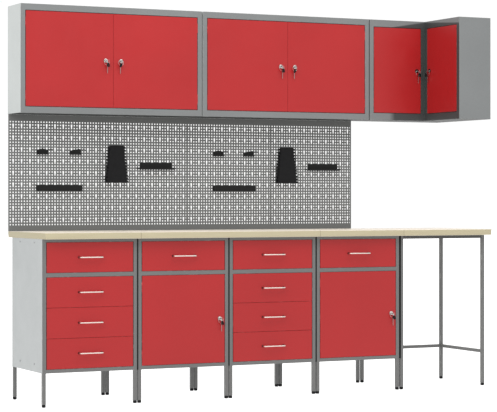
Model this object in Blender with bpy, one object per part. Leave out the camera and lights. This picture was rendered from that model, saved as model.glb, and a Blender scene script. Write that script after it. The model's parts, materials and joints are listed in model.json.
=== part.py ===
"""Workshop furniture row: a workbench of four steel base cabinets and a corner table under one worktop, with
perforated tool panels, two wall cabinets and an L-shaped corner wall cabinet above it.

Metres, +Z up. +X runs along the wall to the right, +Y goes into the wall. All design sizes below are in millimetres,
measured from the left end of the row (x), from the front plane of the base cabinets (y) and from the floor (z). The
origin of the model is the centre of the overall box, on the floor.
"""

import math

import bmesh
import bpy
from mathutils import Matrix, Vector

# ---------------------------------------------------------------- overall frame
MM = 0.001
ROW_LENGTH = 2547.0        # left end of the tool panels to the right end of the worktop
FRONT_Y = -45.0            # front edge of the worktop
WALL_Y = 507.0             # wall plane
ORIGIN_X = ROW_LENGTH / 2.0
ORIGIN_Y = (FRONT_Y + WALL_Y) / 2.0
CLEAR = 0.3                # gap kept between touching pieces

# ---------------------------------------------------------------- base cabinets
UNIT_PITCH = 500.0
UNIT_LEFT = 0.8
UNIT_W = 497.0
BODY_D = 440.0             # front plane to back panel
BODY_Z0 = 165.0            # underside of the cabinet body
BODY_Z1 = 813.7            # top of the frame, under the worktop
POST_W = 20.0              # front posts of the face frame
TUBE = 17.0                # square leg tube
LEG_INSET = 1.5
SHEET = 1.5
TOP_RAIL_Z = 799.0
MID_RAIL_Z0, MID_RAIL_Z1 = 629.5, 649.5
BOTTOM_RAIL_Z = 182.5
FACE_GAP = 1.5             # gap above, below and between drawer fronts
SIDE_GAP = 3.0             # gap beside them, and all round the wall doors
SHELF_Z = 372.0

DRAWER_BOX_D = 405.0
FRONT_T = 15.0             # depth of a folded front or door
HANDLE_L = 126.0
HANDLE_T = 7.0
HANDLE_OUT = 28.0

# ---------------------------------------------------------------- corner table
TABLE_X0, TABLE_X1 = 2005.5, 2531.0
TABLE_D = 437.0
TABLE_BAR_Z0, TABLE_BAR_Z1 = 177.0, 193.5

# ---------------------------------------------------------------- worktop
TOP_Z0, TOP_Z1 = 814.0, 844.7
TOP_BACK = 500.0
BOARD_X = (0.8, 500.0, 1500.0, 2000.0, ROW_LENGTH)

# ---------------------------------------------------------------- tool panels
PEG_Y = 487.0
PEG_Z0, PEG_Z1 = 845.0, 1436.0
PEG_W = 494.6
PEG_T = 1.5

# ---------------------------------------------------------------- wall cabinets
WALL_FRONT = 312.0
WALL_Z0, WALL_Z1 = 1437.0, 1983.0
BORDER_X = 24.0            # upright borders of the wall cabinets
BORDER_Z = 32.0            # borders above and below their doors
CORNER_BORDER_Z = 38.0     # the same on the corner cabinet
WALL_UNITS = ((0.8, 993.3), (999.0, 1991.5))
CENTRE_POST_W = 38.0
WALL_SHELF_Z = 1650.0

# L-shaped corner cabinet: the left arm follows the wall, the right arm comes forward
CORNER_X0, CORNER_X1 = 1997.0, 2545.0
ARM_X = 2345.0             # front plane of the right arm, facing -X
ARM_Y0 = -38.0             # free end of the right arm
CORNER_POST = 23.0

# ---------------------------------------------------------------- locks
BARREL_R = 8.7
FLANGE_R = 10.5
LOCK_HOLE_R = 9.4
CAM_L = 38.0
CAM_Y0, CAM_Y1 = 18.5, 20.5
KEY_OUT = 16.5

# ---------------------------------------------------------------- finishes (linear RGB, metallic, roughness)
FINISHES = {
    "frame_grey": ((0.20, 0.21, 0.20), 0.0, 0.45),
    "panel_light": ((0.55, 0.58, 0.57), 0.0, 0.45),
    "front_red": ((0.53, 0.045, 0.047), 0.0, 0.35),
    "handle_metal": ((0.80, 0.78, 0.74), 1.0, 0.25),
    "lock_metal": ((0.78, 0.78, 0.78), 1.0, 0.15),
    "beech": ((0.76, 0.62, 0.42), 0.0, 0.55),
    "peg_grey": ((0.16, 0.165, 0.16), 0.0, 0.5),
    "holder_dark": ((0.035, 0.036, 0.036), 0.0, 0.5),
}


def clear_scene():
    for obj in list(bpy.data.objects):
        bpy.data.objects.remove(obj, do_unlink=True)


def finish(name, finish_name):
    colour, metallic, roughness = FINISHES[finish_name]
    mat = bpy.data.materials.new(name)
    mat.use_nodes = True
    shader = mat.node_tree.nodes["Principled BSDF"]
    shader.inputs["Base Color"].default_value = (*colour, 1.0)
    shader.inputs["Metallic"].default_value = metallic
    shader.inputs["Roughness"].default_value = roughness
    return mat


def to_world(x, y, z):
    return Vector(((x - ORIGIN_X) * MM, (y - ORIGIN_Y) * MM, z * MM))


def box_bmesh(adds, cuts=()):
    """One closed shell round the union of the boxes in adds, less the boxes in cuts.

    Each box is (x0, x1, y0, y1, z0, z1). The boxes cut space into cells, and a face goes where a filled cell meets
    an empty one, so walls that meet share their corners exactly.
    """
    every = list(adds) + list(cuts)
    axes = []
    for k in range(3):
        values = sorted({round(b[2 * k + side], 4) for b in every for side in (0, 1)})
        axes.append(values)
    n = [len(a) - 1 for a in axes]
    middle = [[(a[i] + a[i + 1]) / 2 for i in range(len(a) - 1)] for a in axes]

    def inside(box, p):
        return all(box[2 * k] < p[k] < box[2 * k + 1] for k in range(3))

    filled = set()
    for i in range(n[0]):
        for j in range(n[1]):
            for k in range(n[2]):
                p = (middle[0][i], middle[1][j], middle[2][k])
                if any(inside(b, p) for b in adds) and not any(inside(b, p) for b in cuts):
                    filled.add((i, j, k))

    bm = bmesh.new()
    verts = {}

    def vert(i, j, k):
        if (i, j, k) not in verts:
            verts[(i, j, k)] = bm.verts.new((axes[0][i], axes[1][j], axes[2][k]))
        return verts[(i, j, k)]

    sides = (
        ((1, 0, 0), ((1, 0, 0), (1, 1, 0), (1, 1, 1), (1, 0, 1))),
        ((-1, 0, 0), ((0, 0, 0), (0, 0, 1), (0, 1, 1), (0, 1, 0))),
        ((0, 1, 0), ((0, 1, 0), (0, 1, 1), (1, 1, 1), (1, 1, 0))),
        ((0, -1, 0), ((0, 0, 0), (1, 0, 0), (1, 0, 1), (0, 0, 1))),
        ((0, 0, 1), ((0, 0, 1), (1, 0, 1), (1, 1, 1), (0, 1, 1))),
        ((0, 0, -1), ((0, 0, 0), (0, 1, 0), (1, 1, 0), (1, 0, 0))),
    )
    for (i, j, k) in sorted(filled):
        for step, corners in sides:
            if (i + step[0], j + step[1], k + step[2]) in filled:
                continue
            bm.faces.new([vert(i + a, j + b, k + c) for a, b, c in corners])
    bmesh.ops.dissolve_limit(
        bm, angle_limit=math.radians(0.5), verts=bm.verts[:], edges=bm.edges[:]
    )
    bmesh.ops.triangulate(bm, faces=bm.faces[:])
    return bm


def make_object(name, bm, finish_name, pivot=(ORIGIN_X, ORIGIN_Y, 0.0), turn=0.0):
    """An object whose origin is at pivot. The mesh comes in design millimetres, relative to the row."""
    shift = Matrix.Translation(Vector((-pivot[0], -pivot[1], -pivot[2])))
    bm.transform(Matrix.Scale(MM, 4) @ shift)
    mesh = bpy.data.meshes.new(name)
    bm.to_mesh(mesh)
    bm.free()
    obj = bpy.data.objects.new(name, mesh)
    bpy.context.scene.collection.objects.link(obj)
    obj.location = to_world(*pivot)
    obj.rotation_euler = (0.0, 0.0, turn)
    obj.data.materials.append(finish(name + "_finish", finish_name))
    return obj


def boxes(name, adds, finish_name, cuts=(), pivot=(ORIGIN_X, ORIGIN_Y, 0.0)):
    return make_object(name, box_bmesh(adds, cuts), finish_name, pivot)


def add_box(bm, x0, x1, y0, y1, z0, z1):
    corners = [(x, y, z) for x in (x0, x1) for y in (y0, y1) for z in (z0, z1)]
    v = [bm.verts.new(c) for c in corners]
    for face in ((0, 1, 3, 2), (4, 6, 7, 5), (0, 4, 5, 1), (2, 3, 7, 6), (0, 2, 6, 4), (1, 5, 7, 3)):
        bm.faces.new([v[i] for i in face])


def cut_round_hole(obj, centre, radius, direction, depth):
    """Cuts a round hole along direction, with a Boolean that is applied."""
    cutter_mesh = bpy.data.meshes.new(obj.name + "_hole")
    bm = bmesh.new()
    bmesh.ops.create_cone(
        bm, cap_ends=True, segments=16, radius1=radius * MM, radius2=radius * MM, depth=depth * MM
    )
    bm.to_mesh(cutter_mesh)
    bm.free()
    cutter = bpy.data.objects.new(obj.name + "_hole", cutter_mesh)
    bpy.context.scene.collection.objects.link(cutter)
    cutter.rotation_euler = Vector(direction).to_track_quat("Z", "Y").to_euler()
    cutter.location = to_world(*centre)
    apply_boolean(obj, cutter, "DIFFERENCE")


def apply_boolean(obj, other, operation):
    modifier = obj.modifiers.new("join", "BOOLEAN")
    modifier.operation = operation
    modifier.solver = "EXACT"
    modifier.object = other
    bpy.context.view_layer.update()
    graph = bpy.context.evaluated_depsgraph_get()
    result = bpy.data.meshes.new_from_object(obj.evaluated_get(graph))
    old = obj.data
    obj.modifiers.clear()
    obj.data = result
    bpy.data.meshes.remove(old)
    mesh = other.data
    bpy.data.objects.remove(other, do_unlink=True)
    bpy.data.meshes.remove(mesh)


# ================================================================ base cabinets

def unit_x(i):
    return UNIT_LEFT + UNIT_PITCH * i


def base_cabinet(i):
    """Welded body: four tube legs, the face frame with its rails, two side sheets, back sheet and bottom sheet."""
    x0 = unit_x(i)
    x1 = x0 + UNIT_W
    lx0, lx1 = x0 + LEG_INSET, x1 - LEG_INSET
    d1 = BODY_D - SHEET
    adds = [
        # legs
        (lx0, lx0 + TUBE, 0, TUBE, 0, BODY_Z1),
        (lx1 - TUBE, lx1, 0, TUBE, 0, BODY_Z1),
        (lx0, lx0 + TUBE, d1 - TUBE, d1, 0, BODY_Z1),
        (lx1 - TUBE, lx1, d1 - TUBE, d1, 0, BODY_Z1),
        # posts of the face frame
        (x0, x0 + POST_W, 0, TUBE, BODY_Z0, BODY_Z1),
        (x1 - POST_W, x1, 0, TUBE, BODY_Z0, BODY_Z1),
        # rails of the face frame
        (x0, x1, 0, TUBE, TOP_RAIL_Z, BODY_Z1),
        (x0, x1, 0, TUBE, MID_RAIL_Z0, MID_RAIL_Z1),
        (x0, x1, 0, TUBE, BODY_Z0, BOTTOM_RAIL_Z),
        # rails along the top of both sides and the back
        (lx0, lx0 + TUBE, 0, d1, TOP_RAIL_Z, BODY_Z1),
        (lx1 - TUBE, lx1, 0, d1, TOP_RAIL_Z, BODY_Z1),
        (lx0, lx1, d1 - TUBE, d1, TOP_RAIL_Z, BODY_Z1),
        # side, back and bottom sheets
        (x0, lx0, 0, BODY_D, BODY_Z0, BODY_Z1),
        (lx1, x1, 0, BODY_D, BODY_Z0, BODY_Z1),
        (x0, x1, d1, BODY_D, BODY_Z0, BODY_Z1),
        (x0, x1, 0, BODY_D, BODY_Z0, BODY_Z0 + SHEET),
    ]
    boxes(f"base_cabinet_{i + 1}", adds, "frame_grey")


def drawer(i, letter, z0, z1):
    """A folded front with an open-topped sheet box behind it. It slides out along -Y."""
    x0 = unit_x(i) + POST_W + SIDE_GAP
    x1 = unit_x(i) + UNIT_W - POST_W - SIDE_GAP
    z0 += FACE_GAP / 2
    z1 -= FACE_GAP / 2
    bx0, bx1 = x0 + 6.5, x1 - 6.5
    bz0, bz1 = z0 + 9.0, z0 + 104.0
    adds = [
        (x0, x1, 0, FRONT_T, z0, z1),
        (bx0, bx1, 0, DRAWER_BOX_D, bz0, bz1),
    ]
    cuts = [
        # the folded front is open behind, round the box
        (x0 + SHEET, bx0, SHEET, FRONT_T + 1, z0 + SHEET, z1 - SHEET),
        (bx1, x1 - SHEET, SHEET, FRONT_T + 1, z0 + SHEET, z1 - SHEET),
        (x0 + SHEET, x1 - SHEET, SHEET, FRONT_T + 1, bz1, z1 - SHEET),
        (x0 + SHEET, x1 - SHEET, SHEET, FRONT_T + 1, z0 + SHEET, bz0),
        # inside of the box
        (bx0 + SHEET, bx1 - SHEET, SHEET, DRAWER_BOX_D - SHEET, bz0 + SHEET, bz1 + 1),
    ]
    name = f"drawer_{i + 1}{letter}"
    boxes(name, adds, "front_red", cuts, pivot=((x0 + x1) / 2, 0.0, (z0 + z1) / 2))
    handle(f"handle_{i + 1}{letter}", (x0 + x1) / 2, (z0 + z1) / 2)


def handle(name, xc, zc):
    """A flat bow: a bar with a foot at each end, screwed on from inside the drawer."""
    half, t = HANDLE_L / 2, HANDLE_T / 2
    adds = [
        (xc - half, xc + half, -HANDLE_OUT, -HANDLE_OUT + HANDLE_T, zc - t, zc + t),
        (xc - half, xc - half + 8, -HANDLE_OUT, -CLEAR, zc - t, zc + t),
        (xc + half - 8, xc + half, -HANDLE_OUT, -CLEAR, zc - t, zc + t),
    ]
    boxes(name, adds, "handle_metal", pivot=(xc, 0.0, zc))


def folded_door(name, x0, x1, y0, z0, z1, hinge_right, lock_x, lock_z):
    """A tray-shaped sheet door that faces -Y, open behind, with a round hole for its lock."""
    adds = [(x0, x1, y0, y0 + FRONT_T, z0, z1)]
    cuts = [(x0 + SHEET, x1 - SHEET, y0 + SHEET, y0 + FRONT_T + 1, z0 + SHEET, z1 - SHEET)]
    pivot_x = x1 + FACE_GAP / 2 if hinge_right else x0 - FACE_GAP / 2
    door = boxes(name, adds, "front_red", cuts, pivot=(pivot_x, y0, (z0 + z1) / 2))
    cut_round_hole(door, (lock_x, y0, lock_z), LOCK_HOLE_R, (0, 1, 0), 10.0)
    return door


def lock(name, x, y, z, turn=0.0):
    """Cam lock: flanged barrel, a key with its grip folded down outside, and a cam that hangs down inside.

    Built facing -Y about its own axis, then turned about Z.
    """
    profile = [
        (0.0, -3.0), (FLANGE_R - 1.2, -3.0), (FLANGE_R, -1.8), (FLANGE_R, -CLEAR), (BARREL_R, -CLEAR),
        (BARREL_R, CAM_Y0 + 0.6), (0.0, CAM_Y0 + 0.6),
    ]
    bm = bmesh.new()
    ring = [bm.verts.new((r, y0, 0.0)) for r, y0 in profile]
    edges = [bm.edges.new((ring[k], ring[k + 1])) for k in range(len(ring) - 1)]
    bmesh.ops.spin(
        bm, geom=ring + edges, cent=(0, 0, 0), axis=(0, 1, 0), angle=2 * math.pi, steps=16, use_merge=True
    )
    bmesh.ops.remove_doubles(bm, verts=bm.verts[:], dist=0.001)
    bmesh.ops.recalc_face_normals(bm, faces=bm.faces[:])
    bm.transform(Matrix.Scale(MM, 4))
    mesh = bpy.data.meshes.new(name)
    bm.to_mesh(mesh)
    bm.free()
    obj = bpy.data.objects.new(name, mesh)
    bpy.context.scene.collection.objects.link(obj)

    for tag, b in (
        ("cam", (-7.0, 7.0, CAM_Y0, CAM_Y1, -CAM_L, 8.0)),
        ("key", None),
    ):
        part = bmesh.new()
        if b is None:
            half = box_bmesh([
                (-1.2, 1.2, -KEY_OUT + 1.0, -2.0, -4.0, 4.0),
                (-9.0, 9.0, -KEY_OUT, -KEY_OUT + 6.0, -36.0, 6.0),
            ])
            part.free()
            part = half
        else:
            add_box(part, *b)
            bmesh.ops.recalc_face_normals(part, faces=part.faces[:])
        part.transform(Matrix.Scale(MM, 4))
        other_mesh = bpy.data.meshes.new(name + "_" + tag)
        part.to_mesh(other_mesh)
        part.free()
        other = bpy.data.objects.new(name + "_" + tag, other_mesh)
        bpy.context.scene.collection.objects.link(other)
        apply_boolean(obj, other, "UNION")

    obj.location = to_world(x, y, z)
    obj.rotation_euler = (0.0, 0.0, turn)
    obj.data.materials.clear()
    obj.data.materials.append(finish(name + "_finish", "lock_metal"))
    obj.data.shade_smooth()
    obj.data.set_sharp_from_angle(angle=math.radians(30))
    return obj


def base_door(i):
    x0 = unit_x(i) + POST_W + SIDE_GAP
    x1 = unit_x(i) + UNIT_W - POST_W - SIDE_GAP
    z0, z1 = BOTTOM_RAIL_Z + FACE_GAP, MID_RAIL_Z0 - FACE_GAP
    lock_x, lock_z = x1 - 27.5, (z0 + z1) / 2
    folded_door(f"base_door_{i + 1}", x0, x1, 0.0, z0, z1, False, lock_x, lock_z)
    lock(f"lock_base_{i + 1}", lock_x, 0.0, lock_z)
    # the loose shelf behind the door rests on studs in the side sheets
    sx0 = unit_x(i) + LEG_INSET + TUBE + 1.0
    sx1 = unit_x(i) + UNIT_W - LEG_INSET - TUBE - 1.0
    boxes(
        f"base_shelf_{i + 1}",
        [(sx0, sx1, 30.0, 418.0, SHELF_Z, SHELF_Z + SHEET), (sx0, sx1, 30.0, 31.5, SHELF_Z - 15, SHELF_Z),
         (sx0, sx1, 416.5, 418.0, SHELF_Z - 15, SHELF_Z)],
        "panel_light",
    )


# ================================================================ corner table, worktop, tool panels

def corner_table():
    """Four tube legs under the end of the worktop, with rails at the top and bars low down on three sides."""
    x0, x1, t = TABLE_X0, TABLE_X1, TUBE
    y1 = TABLE_D
    adds = [
        (x0, x0 + t, 0, t, 0, BODY_Z1), (x1 - t, x1, 0, t, 0, BODY_Z1),
        (x0, x0 + t, y1 - t, y1, 0, BODY_Z1), (x1 - t, x1, y1 - t, y1, 0, BODY_Z1),
        (x0, x1, 0, t, BODY_Z1 - t, BODY_Z1), (x0, x1, y1 - t, y1, BODY_Z1 - t, BODY_Z1),
        (x0, x0 + t, 0, y1, BODY_Z1 - t, BODY_Z1), (x1 - t, x1, 0, y1, BODY_Z1 - t, BODY_Z1),
        (x0, x1, y1 - t, y1, TABLE_BAR_Z0, TABLE_BAR_Z1),
        (x0, x0 + t, 0, y1, TABLE_BAR_Z0, TABLE_BAR_Z1),
        (x1 - t, x1, 0, y1, TABLE_BAR_Z0, TABLE_BAR_Z1),
    ]
    boxes("corner_table_frame", adds, "frame_grey")


def worktops():
    for k in range(4):
        a = BOARD_X[k] + (CLEAR / 2 if k else 0.0)
        b = BOARD_X[k + 1] - (CLEAR / 2 if k < 3 else 0.0)
        boxes(f"worktop_{k + 1}", [(a, b, FRONT_Y, TOP_BACK, TOP_Z0, TOP_Z1)], "beech")


def tool_panels():
    """Sheet panels with a folded edge all round that stands them off the wall."""
    for k in range(4):
        a, b = k * PEG_W + (CLEAR / 2 if k else 0.0), (k + 1) * PEG_W - CLEAR / 2
        boxes(
            f"tool_panel_{k + 1}",
            [(a, b, PEG_Y, PEG_Y + 12.5, PEG_Z0, PEG_Z1)],
            "peg_grey",
            [(a + PEG_T, b - PEG_T, PEG_Y + PEG_T, PEG_Y + 20, PEG_Z0 + PEG_T, PEG_Z1 - PEG_T)],
        )


def tool_holders():
    """Clip-in holders on the tool panels: a long rail, a short rail and a wedge-shaped block, twice."""
    y1 = PEG_Y - CLEAR
    for k, x in enumerate((0.0, 991.5)):
        n = k + 1
        # long rail: a trough with a high front
        a, b = x + 143.5, x + 390.0
        boxes(
            f"long_rail_{n}",
            [(a, b, y1 - 2, y1, 1049.0, 1080.0), (a, b, y1 - 20, y1, 1049.0, 1051.0),
             (a, b, y1 - 20, y1 - 18, 1049.0, 1078.0)],
            "holder_dark",
        )
        # short rail: an angle with a lip, and an arm with a hook at each end
        a, b = x + 699.5, x + 916.5
        boxes(
            f"short_rail_{n}",
            [(a + 17, b - 17, y1 - 2, y1, 1161.0, 1198.0), (a + 17, b - 17, y1 - 26, y1, 1161.0, 1163.0),
             (a + 17, b - 17, y1 - 26, y1 - 24, 1161.0, 1171.0), (a, b, y1 - 4, y1, 1163.0, 1168.0),
             (a, a + 3, y1 - 4, y1, 1163.0, 1175.0), (b - 3, b, y1 - 4, y1, 1163.0, 1175.0)],
            "holder_dark",
        )
        # wedge block: narrower at the top
        block(f"wrench_block_{n}", x + 580.0, y1)


def block(name, xc, y1):
    """A wedge-shaped shell, narrower at the top and open towards the panel."""
    z0, z1, depth, wall = 1092.0, 1285.0, 26.0, 2.0
    half0, half1 = 64.0, 44.5
    bm = bmesh.new()

    def outline(y, inset):
        return [
            bm.verts.new((xc + sign * (half - inset), y, z))
            for sign, half, z in (
                (-1, half0, z0 + inset), (1, half0, z0 + inset), (1, half1, z1 - inset), (-1, half1, z1 - inset)
            )
        ]

    front = outline(y1 - depth, 0.0)
    rim = outline(y1, 0.0)
    rim_in = outline(y1, wall)
    floor = outline(y1 - depth + wall, wall)
    bm.faces.new(front)
    bm.faces.new(floor)
    for k in range(4):
        m = (k + 1) % 4
        bm.faces.new((front[k], front[m], rim[m], rim[k]))
        bm.faces.new((rim[k], rim[m], rim_in[m], rim_in[k]))
        bm.faces.new((rim_in[k], rim_in[m], floor[m], floor[k]))
    bmesh.ops.recalc_face_normals(bm, faces=bm.faces[:])
    make_object(name, bm, "holder_dark")


# ================================================================ wall cabinets

def wall_cabinet(n, x0, x1):
    """Sheet body with a border round two doors, a post behind the meeting edges and one shelf."""
    f, w = WALL_FRONT, WALL_Y
    xm = (x0 + x1) / 2
    p = CENTRE_POST_W / 2
    adds = [(x0, x1, f, w, WALL_Z0, WALL_Z1)]
    cuts = [
        (x0 + SHEET, x1 - SHEET, f + SHEET, w - SHEET, WALL_Z0 + SHEET, WALL_Z1 - SHEET),
        (x0 + BORDER_X, x1 - BORDER_X, f - 1, f + SHEET, WALL_Z0 + BORDER_Z, WALL_Z1 - BORDER_Z),
    ]
    bm_adds = adds
    # the border is folded back to the depth of the doors, and the post and the shelf are put in last
    folds = [
        (x0 + BORDER_X - SHEET, x0 + BORDER_X, f, f + 17, WALL_Z0 + BORDER_Z - SHEET, WALL_Z1 - BORDER_Z + SHEET),
        (x1 - BORDER_X, x1 - BORDER_X + SHEET, f, f + 17, WALL_Z0 + BORDER_Z - SHEET, WALL_Z1 - BORDER_Z + SHEET),
        (x0 + BORDER_X - SHEET, x1 - BORDER_X + SHEET, f, f + 17, WALL_Z0 + BORDER_Z - SHEET, WALL_Z0 + BORDER_Z),
        (x0 + BORDER_X - SHEET, x1 - BORDER_X + SHEET, f, f + 17, WALL_Z1 - BORDER_Z, WALL_Z1 - BORDER_Z + SHEET),
        (xm - p, xm + p, f + FRONT_T + 0.8, f + FRONT_T + 2.5, WALL_Z0, WALL_Z1),
        (x0, x1, f + 28, w, WALL_SHELF_Z, WALL_SHELF_Z + SHEET),
    ]
    shell = shell_with(bm_adds, cuts, folds)
    make_object(f"wall_cabinet_{n}", shell, "frame_grey")

    z0, z1 = WALL_Z0 + BORDER_Z + SIDE_GAP, WALL_Z1 - BORDER_Z - SIDE_GAP
    zl = (z0 + z1) / 2
    left = (x0 + BORDER_X + SIDE_GAP, xm - FACE_GAP / 2)
    right = (xm + FACE_GAP / 2, x1 - BORDER_X - SIDE_GAP)
    folded_door(f"wall_door_{n}_left", *left, f, z0, z1, False, left[1] - 41.5, zl)
    lock(f"lock_wall_{n}_left", left[1] - 41.5, f, zl)
    folded_door(f"wall_door_{n}_right", *right, f, z0, z1, True, right[0] + 41.5, zl)
    lock(f"lock_wall_{n}_right", right[0] + 41.5, f, zl)


def shell_with(adds, cuts, later):
    """box_bmesh where the boxes in later are filled after the cuts are made."""
    kept = []
    every = list(adds) + list(cuts) + list(later)
    axes = [sorted({round(b[2 * k + s], 4) for b in every for s in (0, 1)}) for k in range(3)]

    def holds(box, p):
        return all(box[2 * k] < p[k] < box[2 * k + 1] for k in range(3))

    # rows of cells along x that are filled become the boxes of the union
    for j in range(len(axes[1]) - 1):
        for k in range(len(axes[2]) - 1):
            y = (axes[1][j] + axes[1][j + 1]) / 2
            z = (axes[2][k] + axes[2][k + 1]) / 2
            start = None
            for i in range(len(axes[0]) - 1):
                x = (axes[0][i] + axes[0][i + 1]) / 2
                p = (x, y, z)
                solid = (
                    any(holds(b, p) for b in adds) and not any(holds(b, p) for b in cuts)
                ) or any(holds(b, p) for b in later)
                if solid and start is None:
                    start = axes[0][i]
                if not solid and start is not None:
                    kept.append((start, axes[0][i], axes[1][j], axes[1][j + 1], axes[2][k], axes[2][k + 1]))
                    start = None
            if start is not None:
                kept.append((start, axes[0][-1], axes[1][j], axes[1][j + 1], axes[2][k], axes[2][k + 1]))
    return box_bmesh(kept)


def corner_cabinet():
    """L-shaped body. The left arm's door faces -Y, the right arm's door faces -X, with a post at the inner corner."""
    x0, x1, f, w = CORNER_X0, CORNER_X1, WALL_FRONT, WALL_Y
    ax, ay = ARM_X, ARM_Y0
    za, zb = WALL_Z0 + CORNER_BORDER_Z, WALL_Z1 - CORNER_BORDER_Z
    adds = [
        (x0, x1, f, w, WALL_Z0, WALL_Z1),
        (ax, x1, ay, w, WALL_Z0, WALL_Z1),
    ]
    s = SHEET
    cuts = [
        (x0 + s, x1 - s, f + s, w - s, WALL_Z0 + s, WALL_Z1 - s),
        (ax + s, x1 - s, ay + s, w - s, WALL_Z0 + s, WALL_Z1 - s),
        (x0 + BORDER_X, ax - CORNER_POST, f - 1, f + s, za, zb),
        (ax - 1, ax + s, ay + BORDER_X, f - CORNER_POST, za, zb),
    ]
    later = [
        # post at the inner corner, one solid angle bar
        (ax - CORNER_POST, ax + 16, f, f + 16, WALL_Z0, WALL_Z1),
        (ax, ax + 16, f - CORNER_POST, f + 16, WALL_Z0, WALL_Z1),
        # folds of the border behind the outer edges and above and below the doors
        (x0 + BORDER_X - s, x0 + BORDER_X, f, f + 17, za - s, zb + s),
        (x0 + BORDER_X - s, ax, f, f + 17, za - s, za),
        (x0 + BORDER_X - s, ax, f, f + 17, zb, zb + s),
        (ax, ax + 17, ay + BORDER_X - s, ay + BORDER_X, za - s, zb + s),
        (ax, ax + 17, ay + BORDER_X - s, f, za - s, za),
        (ax, ax + 17, ay + BORDER_X - s, f, zb, zb + s),
    ]
    make_object("corner_wall_cabinet", shell_with(adds, cuts, later), "frame_grey")

    z0, z1 = za + SIDE_GAP, zb - SIDE_GAP
    zl = (z0 + z1) / 2
    left = (x0 + BORDER_X + SIDE_GAP, ax - CORNER_POST - SIDE_GAP)
    folded_door("corner_door_left", *left, f, z0, z1, False, left[1] - 25.5, zl)
    lock("lock_corner_left", left[1] - 25.5, f, zl)

    # the right arm's door, built in place: its front faces -X and its hinge is at the arm's free end
    ya, yb = ay + BORDER_X + SIDE_GAP, f - CORNER_POST - SIDE_GAP
    adds = [(ax, ax + FRONT_T, ya, yb, z0, z1)]
    cuts = [(ax + s, ax + FRONT_T + 1, ya + s, yb - s, z0 + s, z1 - s)]
    door = boxes("corner_door_right", adds, "front_red", cuts, pivot=(ax, ya - FACE_GAP / 2, zl))
    cut_round_hole(door, (ax, yb - 25.5, zl), LOCK_HOLE_R, (1, 0, 0), 10.0)
    lock("lock_corner_right", ax, yb - 25.5, zl, turn=-math.pi / 2)


def main():
    clear_scene()
    for i in range(4):
        base_cabinet(i)
    lower = (MID_RAIL_Z0 - BOTTOM_RAIL_Z) / 3.0
    for i in range(4):
        drawer(i, "a", MID_RAIL_Z1 + FACE_GAP / 2, TOP_RAIL_Z - FACE_GAP / 2)
        if i % 2 == 0:
            for k, letter in enumerate("dcb"):
                z0 = BOTTOM_RAIL_Z + lower * k + (FACE_GAP / 2 if k == 0 else 0.0)
                z1 = BOTTOM_RAIL_Z + lower * (k + 1) - (FACE_GAP / 2 if k == 2 else 0.0)
                drawer(i, letter, z0, z1)
        else:
            base_door(i)
    corner_table()
    worktops()
    tool_panels()
    tool_holders()
    for n, (x0, x1) in enumerate(WALL_UNITS, start=1):
        wall_cabinet(n, x0, x1)
    corner_cabinet()


main()
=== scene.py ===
import json
import math

import bmesh
import bpy
import numpy as np
from mathutils import Matrix, Vector

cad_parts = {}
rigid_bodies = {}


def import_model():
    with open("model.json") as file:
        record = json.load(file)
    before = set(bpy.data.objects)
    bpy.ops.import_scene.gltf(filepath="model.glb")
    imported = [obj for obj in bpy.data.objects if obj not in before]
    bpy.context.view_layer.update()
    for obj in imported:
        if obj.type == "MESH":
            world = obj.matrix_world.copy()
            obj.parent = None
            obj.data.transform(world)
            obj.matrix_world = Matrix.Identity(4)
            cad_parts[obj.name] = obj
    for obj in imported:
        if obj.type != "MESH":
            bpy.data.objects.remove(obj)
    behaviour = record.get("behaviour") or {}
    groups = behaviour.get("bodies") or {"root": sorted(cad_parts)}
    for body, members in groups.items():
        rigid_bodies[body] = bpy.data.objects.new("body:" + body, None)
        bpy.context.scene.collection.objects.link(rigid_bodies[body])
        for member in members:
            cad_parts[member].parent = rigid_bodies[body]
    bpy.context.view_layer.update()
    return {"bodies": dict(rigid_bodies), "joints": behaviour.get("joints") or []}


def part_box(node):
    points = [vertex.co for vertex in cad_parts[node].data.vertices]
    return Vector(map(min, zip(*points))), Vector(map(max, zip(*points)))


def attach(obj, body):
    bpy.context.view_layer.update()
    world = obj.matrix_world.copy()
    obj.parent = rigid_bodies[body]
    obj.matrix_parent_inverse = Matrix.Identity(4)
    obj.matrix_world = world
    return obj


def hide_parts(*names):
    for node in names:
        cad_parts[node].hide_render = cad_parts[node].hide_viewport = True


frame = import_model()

# Everything below is laid out in the design's millimetres: x from the row's left end, y from the base cabinets' front
# plane into the wall, z from the floor. The row frame's origin is the centre of the overall box on the floor.
OX, OY = 1273.5, 231.0
MM = 0.001
TO_ROW = Matrix.Scale(MM, 4) @ Matrix.Translation((-OX, -OY, 0.0))


def mm_box(node):
    """A CAD node's box at rest in design millimetres: x0, x1, y0, y1, z0, z1."""
    lo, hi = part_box(node)
    return (lo.x * 1000 + OX, hi.x * 1000 + OX, lo.y * 1000 + OY, hi.y * 1000 + OY, lo.z * 1000, hi.z * 1000)


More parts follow.
